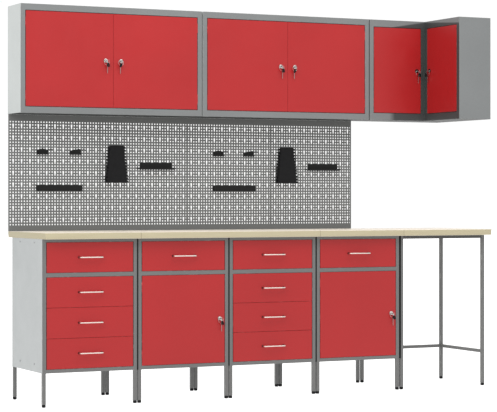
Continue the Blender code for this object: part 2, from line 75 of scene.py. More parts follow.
# =============================================================== materials
class Net:
    """A small helper for building node trees."""

    def __init__(self, name):
        self.mat = bpy.data.materials.new(name)
        self.mat.use_nodes = True
        self.tree = self.mat.node_tree
        self.bsdf = self.tree.nodes["Principled BSDF"]
        self.coord = self.node("ShaderNodeTexCoord").outputs["Object"]

    def node(self, kind, **settings):
        n = self.tree.nodes.new(kind)
        for key, value in settings.items():
            setattr(n, key, value)
        return n

    def link(self, a, b):
        self.tree.links.new(a, b)

    def mapped(self, scale=(1, 1, 1), rotation=(0, 0, 0), location=(0, 0, 0), source=None):
        m = self.node("ShaderNodeMapping")
        m.inputs["Scale"].default_value = scale
        m.inputs["Rotation"].default_value = rotation
        m.inputs["Location"].default_value = location
        self.link(source or self.coord, m.inputs["Vector"])
        return m.outputs["Vector"]

    def noise(self, scale, detail=3.0, rough=0.5, vector=None, distortion=0.0):
        n = self.node("ShaderNodeTexNoise")
        n.inputs["Scale"].default_value = scale
        n.inputs["Detail"].default_value = detail
        n.inputs["Roughness"].default_value = rough
        n.inputs["Distortion"].default_value = distortion
        self.link(vector or self.coord, n.inputs["Vector"])
        return n.outputs["Fac"]

    def ramp(self, fac, stops):
        r = self.node("ShaderNodeValToRGB")
        while len(r.color_ramp.elements) < len(stops):
            r.color_ramp.elements.new(0.5)
        for e, (pos, col) in zip(r.color_ramp.elements, stops):
            e.position = pos
            e.color = (*col, 1.0) if len(col) == 3 else col
        self.link(fac, r.inputs["Fac"])
        return r.outputs["Color"]

    def remap(self, fac, a, b, c, d):
        r = self.node("ShaderNodeMapRange")
        r.inputs["From Min"].default_value = a
        r.inputs["From Max"].default_value = b
        r.inputs["To Min"].default_value = c
        r.inputs["To Max"].default_value = d
        self.link(fac, r.inputs["Value"])
        return r.outputs["Result"]

    def mix(self, fac, a, b, mode="MIX"):
        m = self.node("ShaderNodeMix", data_type="RGBA", blend_type=mode)
        for value, socket in ((fac, m.inputs[0]), (a, m.inputs[6]), (b, m.inputs[7])):
            if isinstance(value, (int, float)):
                socket.default_value = value
            elif isinstance(value, tuple):
                socket.default_value = (*value, 1.0)
            else:
                self.link(value, socket)
        return m.outputs[2]

    def math(self, op, a, b=None, clamp=False):
        m = self.node("ShaderNodeMath", operation=op, use_clamp=clamp)
        for value, socket in ((a, m.inputs[0]), (b, m.inputs[1])):
            if value is None:
                continue
            if isinstance(value, (int, float)):
                socket.default_value = value
            else:
                self.link(value, socket)
        return m.outputs[0]

    def bump(self, height, strength, distance, below=None):
        b = self.node("ShaderNodeBump")
        b.inputs["Strength"].default_value = strength
        b.inputs["Distance"].default_value = distance
        self.link(height, b.inputs["Height"])
        if below is not None:
            self.link(below, b.inputs["Normal"])
        return b.outputs["Normal"]

    def set(self, **sockets):
        for key, value in sockets.items():
            socket = self.bsdf.inputs[key.replace("_", " ")]
            if hasattr(value, "links"):
                self.link(value, socket)
            else:
                socket.default_value = value
        return self.mat


def shade(rgb, k):
    return tuple(min(1.0, c * k) for c in rgb)


def paint(name, rgb, rough=0.42, spread=0.05, peel=0.16, worn=None, gloss=0.32, shaded=None):
    """Powder coat: slight colour drift, fine mottling, orange peel. worn is a colour that shows through on edges."""
    n = Net(name)
    drift = n.noise(2.3, 2.0)
    mottle = n.noise(170.0, 3.0, 0.6)
    fine = n.noise(900.0, 2.0, 0.6)
    colour = n.ramp(drift, [(0.3, shade(rgb, 1 - spread)), (0.7, shade(rgb, 1 + spread))])
    speck = n.ramp(mottle, [(0.35, (0.93, 0.93, 0.93)), (0.65, (1.0, 1.0, 1.0))])
    colour = n.mix(1.0, colour, speck, "MULTIPLY")
    handled = n.noise(11.0, 4.0, 0.62, distortion=0.6)
    if worn is not None:
        rub = n.noise(34.0, 5.0, 0.7)
        mask = n.remap(rub, 0.52, 0.66, 0.0, 0.75)
        colour = n.mix(mask, colour, worn)
    if shaded is not None:
        # painted shade towards an inner corner at x, y: on the whole low border there, and on the part of the high
        # border next to the doors, which gets narrower away from the corner
        x, y, top, depth = shaded
        at = n.node("ShaderNodeSeparateXYZ")
        n.link(n.mapped(location=(-x, -y, -top)), at.inputs[0])
        away = n.math("ADD", n.math("MULTIPLY", n.math("ABSOLUTE", at.outputs["X"]), 4.35),
                      n.math("MULTIPLY", n.math("ABSOLUTE", at.outputs["Y"]), 2.1))
        above = n.math("MAXIMUM", n.math("DIVIDE", at.outputs["Z"], depth), 0.0)
        near = n.math("SUBTRACT", 1.0, n.math("ADD", away, above))
        dark = n.remap(near, 0.02, 0.17, 1.0, 0.27)
        colour = n.mix(dark, (0.0, 0.0, 0.0), colour)
    roughness = n.math("ADD", n.remap(handled, 0.3, 0.7, rough - 0.05, rough + 0.07),
                       n.remap(mottle, 0.3, 0.7, -0.03, 0.03))
    height = n.math("ADD", n.math("MULTIPLY", n.noise(420.0, 2.0, 0.5), 0.8), n.math("MULTIPLY", fine, 0.2))
    return n.set(Base_Color=colour, Roughness=roughness, Normal=n.bump(height, peel, 0.0006),
                 Specular_IOR_Level=gloss)


def brushed(name, rgb, rough=0.3, along="x", metallic=1.0, stretch=60.0):
    n = Net(name)
    s = {"x": (1, stretch, stretch), "y": (stretch, 1, stretch), "z": (stretch, stretch, 1)}[along]
    v = n.mapped(scale=s)
    grain = n.noise(28.0, 4.0, 0.7, v)
    smudge = n.noise(14.0, 3.0, 0.6)
    colour = n.ramp(grain, [(0.25, shade(rgb, 0.86)), (0.75, shade(rgb, 1.08))])
    roughness = n.math("ADD", n.remap(grain, 0.2, 0.8, rough - 0.07, rough + 0.07),
                       n.remap(smudge, 0.3, 0.7, -0.04, 0.06))
    return n.set(Base_Color=colour, Roughness=roughness, Metallic=metallic, Normal=n.bump(grain, 0.12, 0.0003))


def polished(name, rgb, rough=0.12):
    n = Net(name)
    smudge = n.noise(60.0, 4.0, 0.7)
    colour = n.ramp(smudge, [(0.3, shade(rgb, 0.93)), (0.7, rgb)])
    scratches = n.noise(900.0, 2.0, 0.6, n.mapped(scale=(1, 8, 8)))
    return n.set(Base_Color=colour, Roughness=n.remap(smudge, 0.3, 0.75, rough, rough + 0.14), Metallic=1.0,
                 Normal=n.bump(scratches, 0.05, 0.0002))


def zinc(name, rgb=(0.55, 0.56, 0.56)):
    """Galvanised sheet with soft spangles."""
    n = Net(name)
    v = n.node("ShaderNodeTexVoronoi")
    v.inputs["Scale"].default_value = 70.0
    n.link(n.coord, v.inputs["Vector"])
    cell = n.node("ShaderNodeSeparateColor")
    n.link(v.outputs["Color"], cell.inputs["Color"])
    tone = n.ramp(cell.outputs["Red"], [(0.0, shade(rgb, 0.86)), (1.0, shade(rgb, 1.12))])
    haze = n.noise(9.0, 4.0, 0.6)
    roughness = n.math("ADD", n.remap(cell.outputs["Green"], 0.0, 1.0, 0.34, 0.46), n.remap(haze, 0.3, 0.7, -0.04, 0.05))
    return n.set(Base_Color=tone, Roughness=roughness, Metallic=0.9, Normal=n.bump(n.noise(500.0, 2.0), 0.06, 0.0003))


def plastic(name, rgb, rough=0.5, grain=0.25):
    n = Net(name)
    mottle = n.noise(90.0, 3.0, 0.6)
    v = n.node("ShaderNodeTexVoronoi")
    v.inputs["Scale"].default_value = 1400.0
    n.link(n.coord, v.inputs["Vector"])
    colour = n.ramp(mottle, [(0.3, shade(rgb, 0.82)), (0.7, shade(rgb, 1.25))])
    return n.set(Base_Color=colour, Roughness=n.remap(mottle, 0.3, 0.7, rough - 0.06, rough + 0.1),
                 Normal=n.bump(v.outputs["Distance"], grain, 0.0004), Specular_IOR_Level=0.09)


def beech(name, plies=False):
    """Lacquered beech: long soft figure and short dark flecks. On the edges the veneers show as thin layers."""
    n = Net(name)
    long_v = n.mapped(scale=(0.9, 11.0, 11.0))
    figure = n.noise(2.2, 5.0, 0.62, long_v, 0.6)
    streak = n.noise(14.0, 4.0, 0.65, n.mapped(scale=(0.5, 9.0, 9.0)), 0.2)
    fleck = n.noise(130.0, 2.0, 0.5, n.mapped(scale=(0.22, 1.6, 1.6)))
    light, mid, dark = (0.77, 0.715, 0.63), (0.72, 0.655, 0.56), (0.59, 0.505, 0.39)
    colour = n.ramp(figure, [(0.28, light), (0.52, mid), (0.78, shade(dark, 1.12))])
    colour = n.mix(n.remap(streak, 0.35, 0.75, 0.0, 0.35), colour, dark)
    colour = n.mix(n.remap(fleck, 0.60, 0.70, 0.0, 0.45), colour, (0.47, 0.32, 0.20))
    roughness = n.math("ADD", n.remap(figure, 0.3, 0.7, 0.36, 0.46), n.remap(fleck, 0.5, 0.7, 0.0, 0.08))
    height = n.math("SUBTRACT", n.math("MULTIPLY", streak, 0.35), n.math("MULTIPLY", n.remap(fleck, 0.58, 0.7, 0.0, 1.0), 0.5))
    if plies:
        # layers of 2.35 mm across the 30.7 mm thickness, every second one cut across the grain
        sep = n.node("ShaderNodeSeparateXYZ")
        n.link(n.coord, sep.inputs["Vector"])
        wobble = n.math("MULTIPLY", n.math("SUBTRACT", n.noise(5.0, 2.0), 0.5), 0.0005)
        z = n.math("ADD", n.math("SUBTRACT", sep.outputs["Z"], 0.814), wobble)
        layer = n.math("FRACT", n.math("DIVIDE", z, 0.00472))
        band = n.ramp(layer, [(0.0, (0, 0, 0)), (0.46, (0, 0, 0)), (0.50, (1, 1, 1)), (0.96, (1, 1, 1)), (1.0, (0, 0, 0))])
        end_grain = n.noise(800.0, 3.0, 0.6)
        dark_ply = n.ramp(end_grain, [(0.3, (0.262, 0.223, 0.137)), (0.7, (0.325, 0.278, 0.174))])
        pale = n.ramp(streak, [(0.3, (0.411, 0.379, 0.257)), (0.7, (0.366, 0.329, 0.218))])
        colour = n.mix(band, pale, dark_ply)
        glue = n.math("FRACT", n.math("DIVIDE", z, 0.00236))
        line = n.ramp(glue, [(0.0, (1, 1, 1)), (0.06, (0, 0, 0)), (0.94, (0, 0, 0)), (1.0, (1, 1, 1))])
        colour = n.mix(n.math("MULTIPLY", line, 0.45), colour, (0.33, 0.23, 0.14))
        roughness = n.remap(end_grain, 0.3, 0.7, 0.45, 0.6)
        height = n.math("ADD", n.math("MULTIPLY", end_grain, 0.4), n.math("MULTIPLY", line, -0.6))
    return n.set(Base_Color=colour, Roughness=roughness, Normal=n.bump(height, 0.18, 0.0005))


GREY = (0.143, 0.149, 0.149)
# the base cabinets' frame grey is a darker copy of the frame grey: painted shade for the lower, less lit units
GREY_BASE_SHADED = (0.114, 0.114, 0.112)
LIGHT = (0.402, 0.423, 0.415)
# the base cabinets' light grey is a darker copy of the light grey: painted shade for the lower, less lit units
LIGHT_BASE_SHADED = (0.332, 0.347, 0.347)
RED = (0.300, 0.0100, 0.0110)

M = {
    "grey": paint("frame_grey_coat", GREY, 0.40),
    "grey_edge": paint("frame_grey_edges", shade(GREY, 1.12), 0.36, worn=(0.40, 0.41, 0.41)),
    # base frames and table tubes: the darker, painted-shade copy of the frame grey
    "base": paint("base_grey_shaded_coat", GREY_BASE_SHADED, 0.42),
    "base_edge": paint("base_grey_shaded_edges", shade(GREY_BASE_SHADED, 1.1), 0.38, worn=(0.38, 0.39, 0.38)),
    # near-black paint for the strip in the corner cabinet's inner corner: painted shade
    "post": paint("inner_post_painted_shade_coat", (0.034, 0.042, 0.040), 0.42),
    "light": paint("light_grey_coat", LIGHT, 0.40, 0.035),
    "light_edge": paint("light_grey_edges", shade(LIGHT, 1.06), 0.36, worn=(0.50, 0.51, 0.51)),
    # base side, back and bottom sheets: the darker, painted-shade copy of the light grey
    "light2": paint("base_light_grey_shaded_coat", LIGHT_BASE_SHADED, 0.42, 0.035),
    "light2_edge": paint("base_light_grey_shaded_edges", shade(LIGHT_BASE_SHADED, 1.06), 0.38, worn=(0.44, 0.45, 0.45)),
    "red": paint("red_coat", RED, 0.36, 0.045, 0.14),
    "red_edge": paint("red_edges", shade(RED, 1.08), 0.32, worn=(0.60, 0.085, 0.08)),
    "peg": paint("panel_grey_coat", (0.108, 0.111, 0.109), 0.5),
    "peg_edge": paint("panel_grey_edges", (0.20, 0.205, 0.20), 0.46),
    "holder": paint("holder_coat", (0.0095, 0.0098, 0.0096), 0.5, 0.08, gloss=0.12),
    "holder_edge": paint("holder_edges", (0.014, 0.0145, 0.0145), 0.42, worn=(0.045, 0.045, 0.045), gloss=0.15),
    # the corner border's grey, with painted shade towards the inner corner
    "corner": paint("corner_border_painted_shade_coat", GREY, 0.40, shaded=((2345.0 - OX) * MM, (312.0 - OY) * MM,
                    (mm_box("corner_wall_cabinet")[5] - 38.0) * MM, 38.0 * MM)),
    # the table's top rails: the base grey at half, painted shade under the worktop
    "rail": paint("table_rail_painted_shade_coat", shade(GREY_BASE_SHADED, 0.5), 0.45),
    # near-black undersides of the wall cabinets: painted shade
    "under": paint("underside_painted_shade_coat", (0.012, 0.0145, 0.0135), 0.5),
    # black seals that also paint the shade in the gaps round doors, drawers and between the cabinets
    "seal": plastic("door_seal_and_gap_shade", (0.010, 0.011, 0.011), 0.6, 0.15),
    "handle": brushed("handle_aluminium", (0.67, 0.595, 0.55), 0.30, "x"),
    "chrome": polished("lock_chrome", (0.60, 0.56, 0.54)),
    # the corner locks' chrome, nearly black: painted shade and dark reflections of the inner corner
    "chrome_dark": polished("corner_lock_chrome_painted_shade", (0.035, 0.037, 0.036)),
    "key": brushed("key_nickel", (0.42, 0.40, 0.39), 0.28, "z"),
    "key_dull": brushed("spare_key_nickel", (0.30, 0.25, 0.24), 0.36, "z"),
    "black": plastic("black_plastic_grain", (0.0075, 0.0075, 0.008), 0.46, 0.2),
    "zinc": zinc("zinc_sheet"),
    "steel": brushed("zinc_screw", (0.62, 0.62, 0.60), 0.28, "x"),
    "seam": plastic("seam_shadow", (0.055, 0.040, 0.026), 0.7, 0.1),
    "beech": beech("beech_face"),
    "ply": beech("beech_plies", True),
}


# =============================================================== mesh helpers
def lattice(adds, cuts=(), later=(), dissolve=True):
    """One closed shell round the union of the boxes in adds, less cuts, plus later. Boxes are x0, x1, y0, y1, z0, z1."""
    every = [*adds, *cuts, *later]
    axes = [np.unique(np.round([b[2 * k + s] for b in every for s in (0, 1)], 4)) for k in range(3)]
    mask = np.zeros([len(a) + 1 for a in axes], bool)

    def fill(b, value):
        r = [np.searchsorted(axes[k], (round(b[2 * k], 4), round(b[2 * k + 1], 4))) for k in range(3)]
        mask[r[0][0] + 1:r[0][1] + 1, r[1][0] + 1:r[1][1] + 1, r[2][0] + 1:r[2][1] + 1] = value

    for group, value in ((adds, True), (cuts, False), (later, True)):
        for b in group:
            fill(b, value)
    bm = bmesh.new()
    verts = {}

    def vert(key):
        if key not in verts:
            verts[key] = bm.verts.new((axes[0][key[0]], axes[1][key[1]], axes[2][key[2]]))
        return verts[key]

    sides = (
        ((1, 0, 0), ((1, 0, 0), (1, 1, 0), (1, 1, 1), (1, 0, 1))),
        ((-1, 0, 0), ((0, 0, 0), (0, 0, 1), (0, 1, 1), (0, 1, 0))),
        ((0, 1, 0), ((0, 1, 0), (0, 1, 1), (1, 1, 1), (1, 1, 0))),
        ((0, -1, 0), ((0, 0, 0), (1, 0, 0), (1, 0, 1), (0, 0, 1))),
        ((0, 0, 1), ((0, 0, 1), (1, 0, 1), (1, 1, 1), (0, 1, 1))),
        ((0, 0, -1), ((0, 0, 0), (0, 1, 0), (1, 1, 0), (1, 0, 0))),
    )
    for step, corners in sides:
        near = np.roll(mask, (-step[0], -step[1], -step[2]), (0, 1, 2))
        for i, j, k in np.argwhere(mask & ~near):
            bm.faces.new([vert((int(i) - 1 + a, int(j) - 1 + b, int(k) - 1 + c)) for a, b, c in corners])
    if dissolve:
        bmesh.ops.dissolve_limit(bm, angle_limit=math.radians(0.5), verts=bm.verts[:], edges=bm.edges[:])
    return bm


def join(*parts):
    """Several bmeshes as one."""
    bm = bmesh.new()
    for p in parts:
        me = bpy.data.meshes.new("tmp")
        p.to_mesh(me)
        p.free()
        bm.from_mesh(me)
        bpy.data.meshes.remove(me)
    return bm


def turned(profile, centre, axis="y", steps=32):
    """A turned solid. profile is (radius, along) pairs from one end of the axis to the other."""
    bm = bmesh.new()
    rings = []
    for r, h in profile:
        if r < 1e-6:
            rings.append([bm.verts.new((0, 0, h))])
        else:
            rings.append([bm.verts.new((r * math.cos(2 * math.pi * t / steps), r * math.sin(2 * math.pi * t / steps), h))
                          for t in range(steps)])
    for a, b in zip(rings, rings[1:]):
        for t in range(steps):
            u = (t + 1) % steps
            if len(a) == 1 and len(b) == 1:
                continue
            if len(a) == 1:
                bm.faces.new((a[0], b[u], b[t]))
            elif len(b) == 1:
                bm.faces.new((a[t], a[u], b[0]))
            else:
                bm.faces.new((a[t], a[u], b[u], b[t]))
    bmesh.ops.recalc_face_normals(bm, faces=bm.faces[:])
    turn = {"z": Matrix.Identity(4), "y": Matrix.Rotation(math.radians(-90), 4, "X"),
            "x": Matrix.Rotation(math.radians(90), 4, "Y")}[axis]
    bm.transform(Matrix.Translation(centre) @ turn)
    return bm


def plate(outline, y0, y1, holes=()):
    """An outline in x, z extruded from y0 to y1. holes are outlines too."""
    bm = bmesh.new()
    loops = []
    for pts in [outline, *holes]:
        vs = [bm.verts.new((x, y0, z)) for x, z in pts]
        loops.append([bm.edges.new((vs[k], vs[(k + 1) % len(vs)])) for k in range(len(vs))])
    bmesh.ops.triangle_fill(bm, use_beauty=True, edges=[e for lp in loops for e in lp])
    bmesh.ops.dissolve_limit(bm, angle_limit=math.radians(0.5), verts=[], edges=bm.edges[:])
    made = bmesh.ops.extrude_face_region(bm, geom=bm.faces[:])
    bmesh.ops.translate(bm, vec=(0, y1 - y0, 0), verts=[v for v in made["geom"] if isinstance(v, bmesh.types.BMVert)])
    bmesh.ops.recalc_face_normals(bm, faces=bm.faces[:])
    return bm


def disc(cx, cz, r, steps=20):
    return [(cx + r * math.cos(2 * math.pi * t / steps), cz + r * math.sin(2 * math.pi * t / steps)) for t in range(steps)]


def rounded(x0, x1, z0, z1, r, steps=4):
    pts = []
    for cx, cz, a in ((x1 - r, z0 + r, -90), (x1 - r, z1 - r, 0), (x0 + r, z1 - r, 90), (x0 + r, z0 + r, 180)):
        for t in range(steps + 1):
            w = math.radians(a + 90 * t / steps)
            pts.append((cx + r * math.cos(w), cz + r * math.sin(w)))
    return pts


def piece(name, bm, mats, body, bevel=0.0, segs=2, replaces=(), smooth=None, angle=35, move=None):
    """A visual piece in the row frame that rides on a CAD body. Bevelled edges take the second material."""
    if move is not None:
        bm.transform(move)
    bm.transform(TO_ROW)
    me = bpy.data.meshes.new(name)
    bm.to_mesh(me)
    bm.free()
    ob = bpy.data.objects.new(name, me)
    bpy.context.scene.collection.objects.link(ob)
    return dress(ob, mats, body, bevel, segs, replaces, smooth, angle)


def dress(ob, mats, body, bevel=0.0, segs=2, replaces=(), smooth=None, angle=35):
    me = ob.data
    if not me.materials:
        for key in ([mats] if isinstance(mats, str) else mats):
            me.materials.append(M[key])
    if bevel:
        mod = ob.modifiers.new("edges", "BEVEL")
        mod.width = bevel * MM
        mod.segments = segs
        mod.limit_method = "ANGLE"
        mod.angle_limit = math.radians(40)
        mod.use_clamp_overlap = True
        mod.harden_normals = True
        mod.miter_outer = "MITER_ARC"
        if not isinstance(mats, str) and len(mats) > 1:
            mod.material = 1
        me.shade_smooth()
    elif smooth:
        me.shade_smooth()
        me.set_sharp_from_angle(angle=math.radians(angle))
    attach(ob, body)
    if replaces:
        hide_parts(*([replaces] if isinstance(replaces, str) else replaces))
    return ob


def row_body():
    """The body that has no parent joint."""
    children = {j["child"] for j in frame["joints"]}
    return next(b for b in frame["bodies"] if b not in children)


ROW = row_body()

# =============================================================== base cabinets
POST, TUBE, SHEET, GAP = 20.0, 17.0, 1.5, 1.5
FOOT = 14.0
TOPR, MID1, MID0, BOTR, BODY0 = 799.0, 649.5, 629.5, 182.5, 165.0
SIDE_GAP, SEAL = 3.0, 2.1


def foot(bms, x0, x1, y0, y1):
    """A black end cap pushed into a leg tube: a soft-edged plug."""
    c = 0.25
    bm = lattice([(x0 - c, x1 + c, y0 - c, y1 + c, 0.0, FOOT - 0.4)])
    bmesh.ops.bevel(bm, geom=[e for e in bm.edges], offset=2.6, segments=3, affect="EDGES", profile=0.5)
    for v in bm.verts:      # a slight taper towards the floor
        t = 1.0 - 0.10 * max(0.0, 1.0 - v.co.z / FOOT)
        v.co.x = (v.co.x - (x0 + x1) / 2) * t + (x0 + x1) / 2
        v.co.y = (v.co.y - (y0 + y1) / 2) * t + (y0 + y1) / 2
    bms.append(bm)


def screw_head(bms, x, y, z, axis, r=4.0):
    """Pan head with a cross recess hinted by a dished centre. axis is the side it faces: -x, -y."""
    prof = [(0.0, -1.0), (r * 0.35, -1.1), (r * 0.45, -1.9), (r * 0.8, -1.6), (r, -0.7), (r, 0.0), (0.0, 0.0)]
    if axis == "-x":
        bms.append(turned(prof, (x, y, z), "x", 20))
    else:
        bms.append(turned(prof, (x, y, z), "y", 20))


def base_cabinet(i):
    node = f"base_cabinet_{i + 1}"
    x0, x1, y0, y1, z0, z1 = mm_box(node)
    a, b = x0 + SHEET, x1 - SHEET
    d = y1 - SHEET
    frame_boxes = [
        (a, a + TUBE, 0, TUBE, FOOT, z1), (b - TUBE, b, 0, TUBE, FOOT, z1),
        (a, a + TUBE, d - TUBE, d, FOOT, z1), (b - TUBE, b, d - TUBE, d, FOOT, z1),
        (x0, x0 + POST, 0, SHEET, BODY0, z1), (x1 - POST, x1, 0, SHEET, BODY0, z1),
        (a, x0 + POST, 0, TUBE, BODY0, z1), (x1 - POST, b, 0, TUBE, BODY0, z1),
        (a, b, 0, TUBE, TOPR, z1), (a, b, 0, TUBE, MID0, MID1), (a, b, 0, TUBE, BODY0, BOTR),
        (a, a + TUBE, TUBE, d, TOPR, z1), (b - TUBE, b, TUBE, d, TOPR, z1), (a, b, d - TUBE, d, TOPR, z1),
    ]
    piece(f"base_frame_{i + 1}", lattice(frame_boxes), ["base", "base_edge"], ROW, 0.9, 3, node)
    g = 0.12
    piece(f"side_sheet_{i + 1}_left", lattice([(x0, a - g, SHEET + g, y1, BODY0, z1),
                                              (x0, x0 + 12, y1 - 1.2, y1, BODY0, z1)]),
          ["light2", "light2_edge"], ROW, 0.5, 2)
    piece(f"side_sheet_{i + 1}_right", lattice([(b + g, x1, SHEET + g, y1, BODY0, z1),
                                               (x1 - 12, x1, y1 - 1.2, y1, BODY0, z1)]),
          ["light2", "light2_edge"], ROW, 0.5, 2)
    # back sheet with two pressed beads that stiffen it, and the bottom sheet
    back = [(x0 + 12.4, x1 - 12.4, d + g, y1 - 0.3, BODY0 + 2, z1)]
    beads = [(x0 + 60, x1 - 60, y1 - 0.4, y1, zc - 9, zc + 9) for zc in (330.0, 640.0)]
    piece(f"back_sheet_{i + 1}", lattice(back + beads), ["light2", "light2_edge"], ROW, 0.4, 2)
    piece(f"bottom_sheet_{i + 1}", lattice([(a + g, b - g, TUBE + g, d - g, BODY0, BODY0 + SHEET)],
                                          [(a, a + TUBE + 0.3, d - TUBE - 0.3, d, 0, 300), (b - TUBE - 0.3, b, d - TUBE - 0.3, d, 0, 300)]),
          ["light2", "light2_edge"], ROW, 0.4, 2)
    # thin black seals on the posts and rails round the two openings, which also stand for the shade in the gaps round
    # the fronts: painted shade
    seals = []
    for za, zb in ((BOTR, MID0), (MID1, TOPR)):
        seals += [(x0 + POST + 0.02, x0 + POST + SEAL, 1.7, 14.0, za, zb), (x1 - POST - SEAL, x1 - POST - 0.02, 1.7, 14.0, za, zb),
                  (x0 + POST + 0.02, x1 - POST - 0.02, 1.7, 14.0, zb - 0.9, zb - 0.02),
                  (x0 + POST + 0.02, x1 - POST - 0.02, 1.7, 14.0, za + 0.02, za + 0.9)]
    piece(f"opening_seals_{i + 1}", lattice(seals), "seal", ROW, 0.15, 1)
    feet = []
    for fx0, fx1 in ((a, a + TUBE), (b - TUBE, b)):
        foot(feet, fx0, fx1, 0, TUBE)
        foot(feet, fx0, fx1, d - TUBE, d)
    piece(f"feet_{i + 1}", join(*feet), "black", ROW, smooth=True)
    screws = []
    for ys in (113.3, 319.0):
        for zs in (795.8, 203.0):
            screw_head(screws, x0, ys, zs, "-x")
    piece(f"side_screws_{i + 1}", join(*screws), "grey_edge", ROW, smooth=True)


def unit_joints():
    """Black T-shaped strips over the narrow gaps between neighbouring cabinets, and between the last one and the table:
    painted shade for those gaps.
    """
    edges = [mm_box(f"base_cabinet_{k + 1}") for k in range(4)] + [mm_box("corner_table_frame")]
    strips = []
    for left, right in zip(edges, edges[1:]):
        strips.append(lattice([(left[1] + 0.15, right[0] - 0.15, -0.1, 14.0, BODY0, left[5] - 0.3),
                               (left[1] - 2.4, right[0] + 2.4, -0.7, -0.1, BODY0, left[5] - 0.3)]))
    piece("joint_strips", join(*strips), "seal", ROW, 0.2, 2)


def runner_pair(i, letter, z):
    """Roller runners: a channel on each side of the cabinet and a channel on each side of the drawer."""
    x0 = mm_box(f"base_cabinet_{i + 1}")[0]
    w = 497.0
    for side in (0, 1):
        def m(lo, hi):
            return (x0 + lo, x0 + hi) if side == 0 else (x0 + w - hi, x0 + w - lo)
        fixed = lattice([(*m(18.7, 20.0), 19, 421, z - 17, z + 17), (*m(18.7, 23.2), 19, 421, z + 15.6, z + 17),
                         (*m(18.7, 23.2), 19, 421, z - 17, z - 15.6)])
        piece(f"runner_{i + 1}{letter}_{'lr'[side]}", fixed, "zinc", ROW, 0.25, 1)
        moving = lattice([(*m(28.2, 29.4), 16, 404, z - 12, z + 12), (*m(25.2, 29.4), 16, 404, z + 10.8, z + 12),
                          (*m(25.2, 29.4), 16, 404, z - 12, z - 10.8)])
        piece(f"slide_rail_{i + 1}{letter}_{'lr'[side]}", moving, "zinc", f"drawer_{i + 1}{letter}_body", 0.25, 1)


def drawer(i, letter):
    node = f"drawer_{i + 1}{letter}"
    body = node + "_body"
    x0, x1, y0, y1, z0, z1 = mm_box(node)
    t = 1.2
    front = lattice(
        [(x0, x1, 0, 15.0, z0, z1)],
        [(x0 + t, x1 - t, t, 20.0, z0 + t, z1 - t)],
        [(x0 + t, x0 + 14, 13.8, 15.0, z0 + t, z1 - t), (x1 - 14, x1 - t, 13.8, 15.0, z0 + t, z1 - t)],
    )
    piece(f"front_{i + 1}{letter}", front, ["red", "red_edge"], body, 1.0, 3, node)
    bx0, bx1, bz0, bz1 = x0 + 6.5, x1 - 6.5, z0 + 9.0, z0 + 104.0
    s = 1.0
    box = lattice(
        [(bx0, bx1, 15.1, y1, bz0, bz1)],
        [(bx0 + s, bx1 - s, 15.1 + s, y1 - s, bz0 + s, bz1 + 1)],
        # rims folded inwards along the top edges
        [(bx0 + s, bx0 + 7, 15.1 + s, y1 - s, bz1 - s, bz1), (bx1 - 7, bx1 - s, 15.1 + s, y1 - s, bz1 - s, bz1),
         (bx0 + s, bx1 - s, y1 - 7, y1 - s, bz1 - s, bz1)],
    )
    piece(f"box_{i + 1}{letter}", box, ["light", "light_edge"], body, 0.4, 2)
    runner_pair(i, letter, bz0 + 30.0)
    handle(i, letter)


def handle(i, letter):
    """A bow of rounded bar that bends back to the front at both ends, on two small black bushes."""
    node = f"handle_{i + 1}{letter}"
    x0, x1, y0, y1, z0, z1 = mm_box(node)
    zc, h = (z0 + z1) / 2, 2.8
    outer = y0
    # the bow's centre line in x, y, with rounded corners
    r, half = 7.5, 3.2
    path = []
    xa, xb, yo, yi = x0 + half + 0.4, x1 - half - 0.4, outer + half, -2.0
    path.append((xa, yi))
    for k in range(7):
        w = math.radians(180 + 90 * k / 6)
        path.append((xa + r + r * math.cos(w), yo + r + r * math.sin(w)))
    for k in range(7):
        w = math.radians(270 + 90 * k / 6)
        path.append((xb - r + r * math.cos(w), yo + r + r * math.sin(w)))
    path.append((xb, yi))
    bm = bmesh.new()
    rings = []
    n = len(path)
    section = []
    for cu, cv, a in ((half - 1.3, -(h - 1.3), -90), (half - 1.3, h - 1.3, 0), (-(half - 1.3), h - 1.3, 90), (-(half - 1.3), -(h - 1.3), 180)):
        for k in range(4):
            w = math.radians(a + 90 * k / 3)
            section.append((cu + 1.3 * math.cos(w), cv + 1.3 * math.sin(w)))
    for k, (px, py) in enumerate(path):
        q0, q1 = path[max(0, k - 1)], path[min(n - 1, k + 1)]
        tx, ty = q1[0] - q0[0], q1[1] - q0[1]
        ln = math.hypot(tx, ty)
        nx, ny = ty / ln, -tx / ln
        rings.append([bm.verts.new((px + nx * u, py + ny * u, zc + v)) for u, v in section])
    for ra, rb in zip(rings, rings[1:]):
        for k in range(len(section)):
            m = (k + 1) % len(section)
            bm.faces.new((ra[k], ra[m], rb[m], rb[k]))
    bm.faces.new(rings[0][::-1])
    bm.faces.new(rings[-1])
    bmesh.ops.recalc_face_normals(bm, faces=bm.faces[:])
    piece(f"bow_{i + 1}{letter}", bm, "handle", f"drawer_{i + 1}{letter}_body", smooth=True, angle=50, replaces=node)
    bushes = [turned([(0, -2.6), (4.4, -2.6), (5.2, -1.8), (5.2, -0.1), (0, -0.1)], (xx, 0.0, zc), "y", 24) for xx in (xa, xb)]
    piece(f"bushes_{i + 1}{letter}", join(*bushes), "black", f"drawer_{i + 1}{letter}_body", smooth=True)


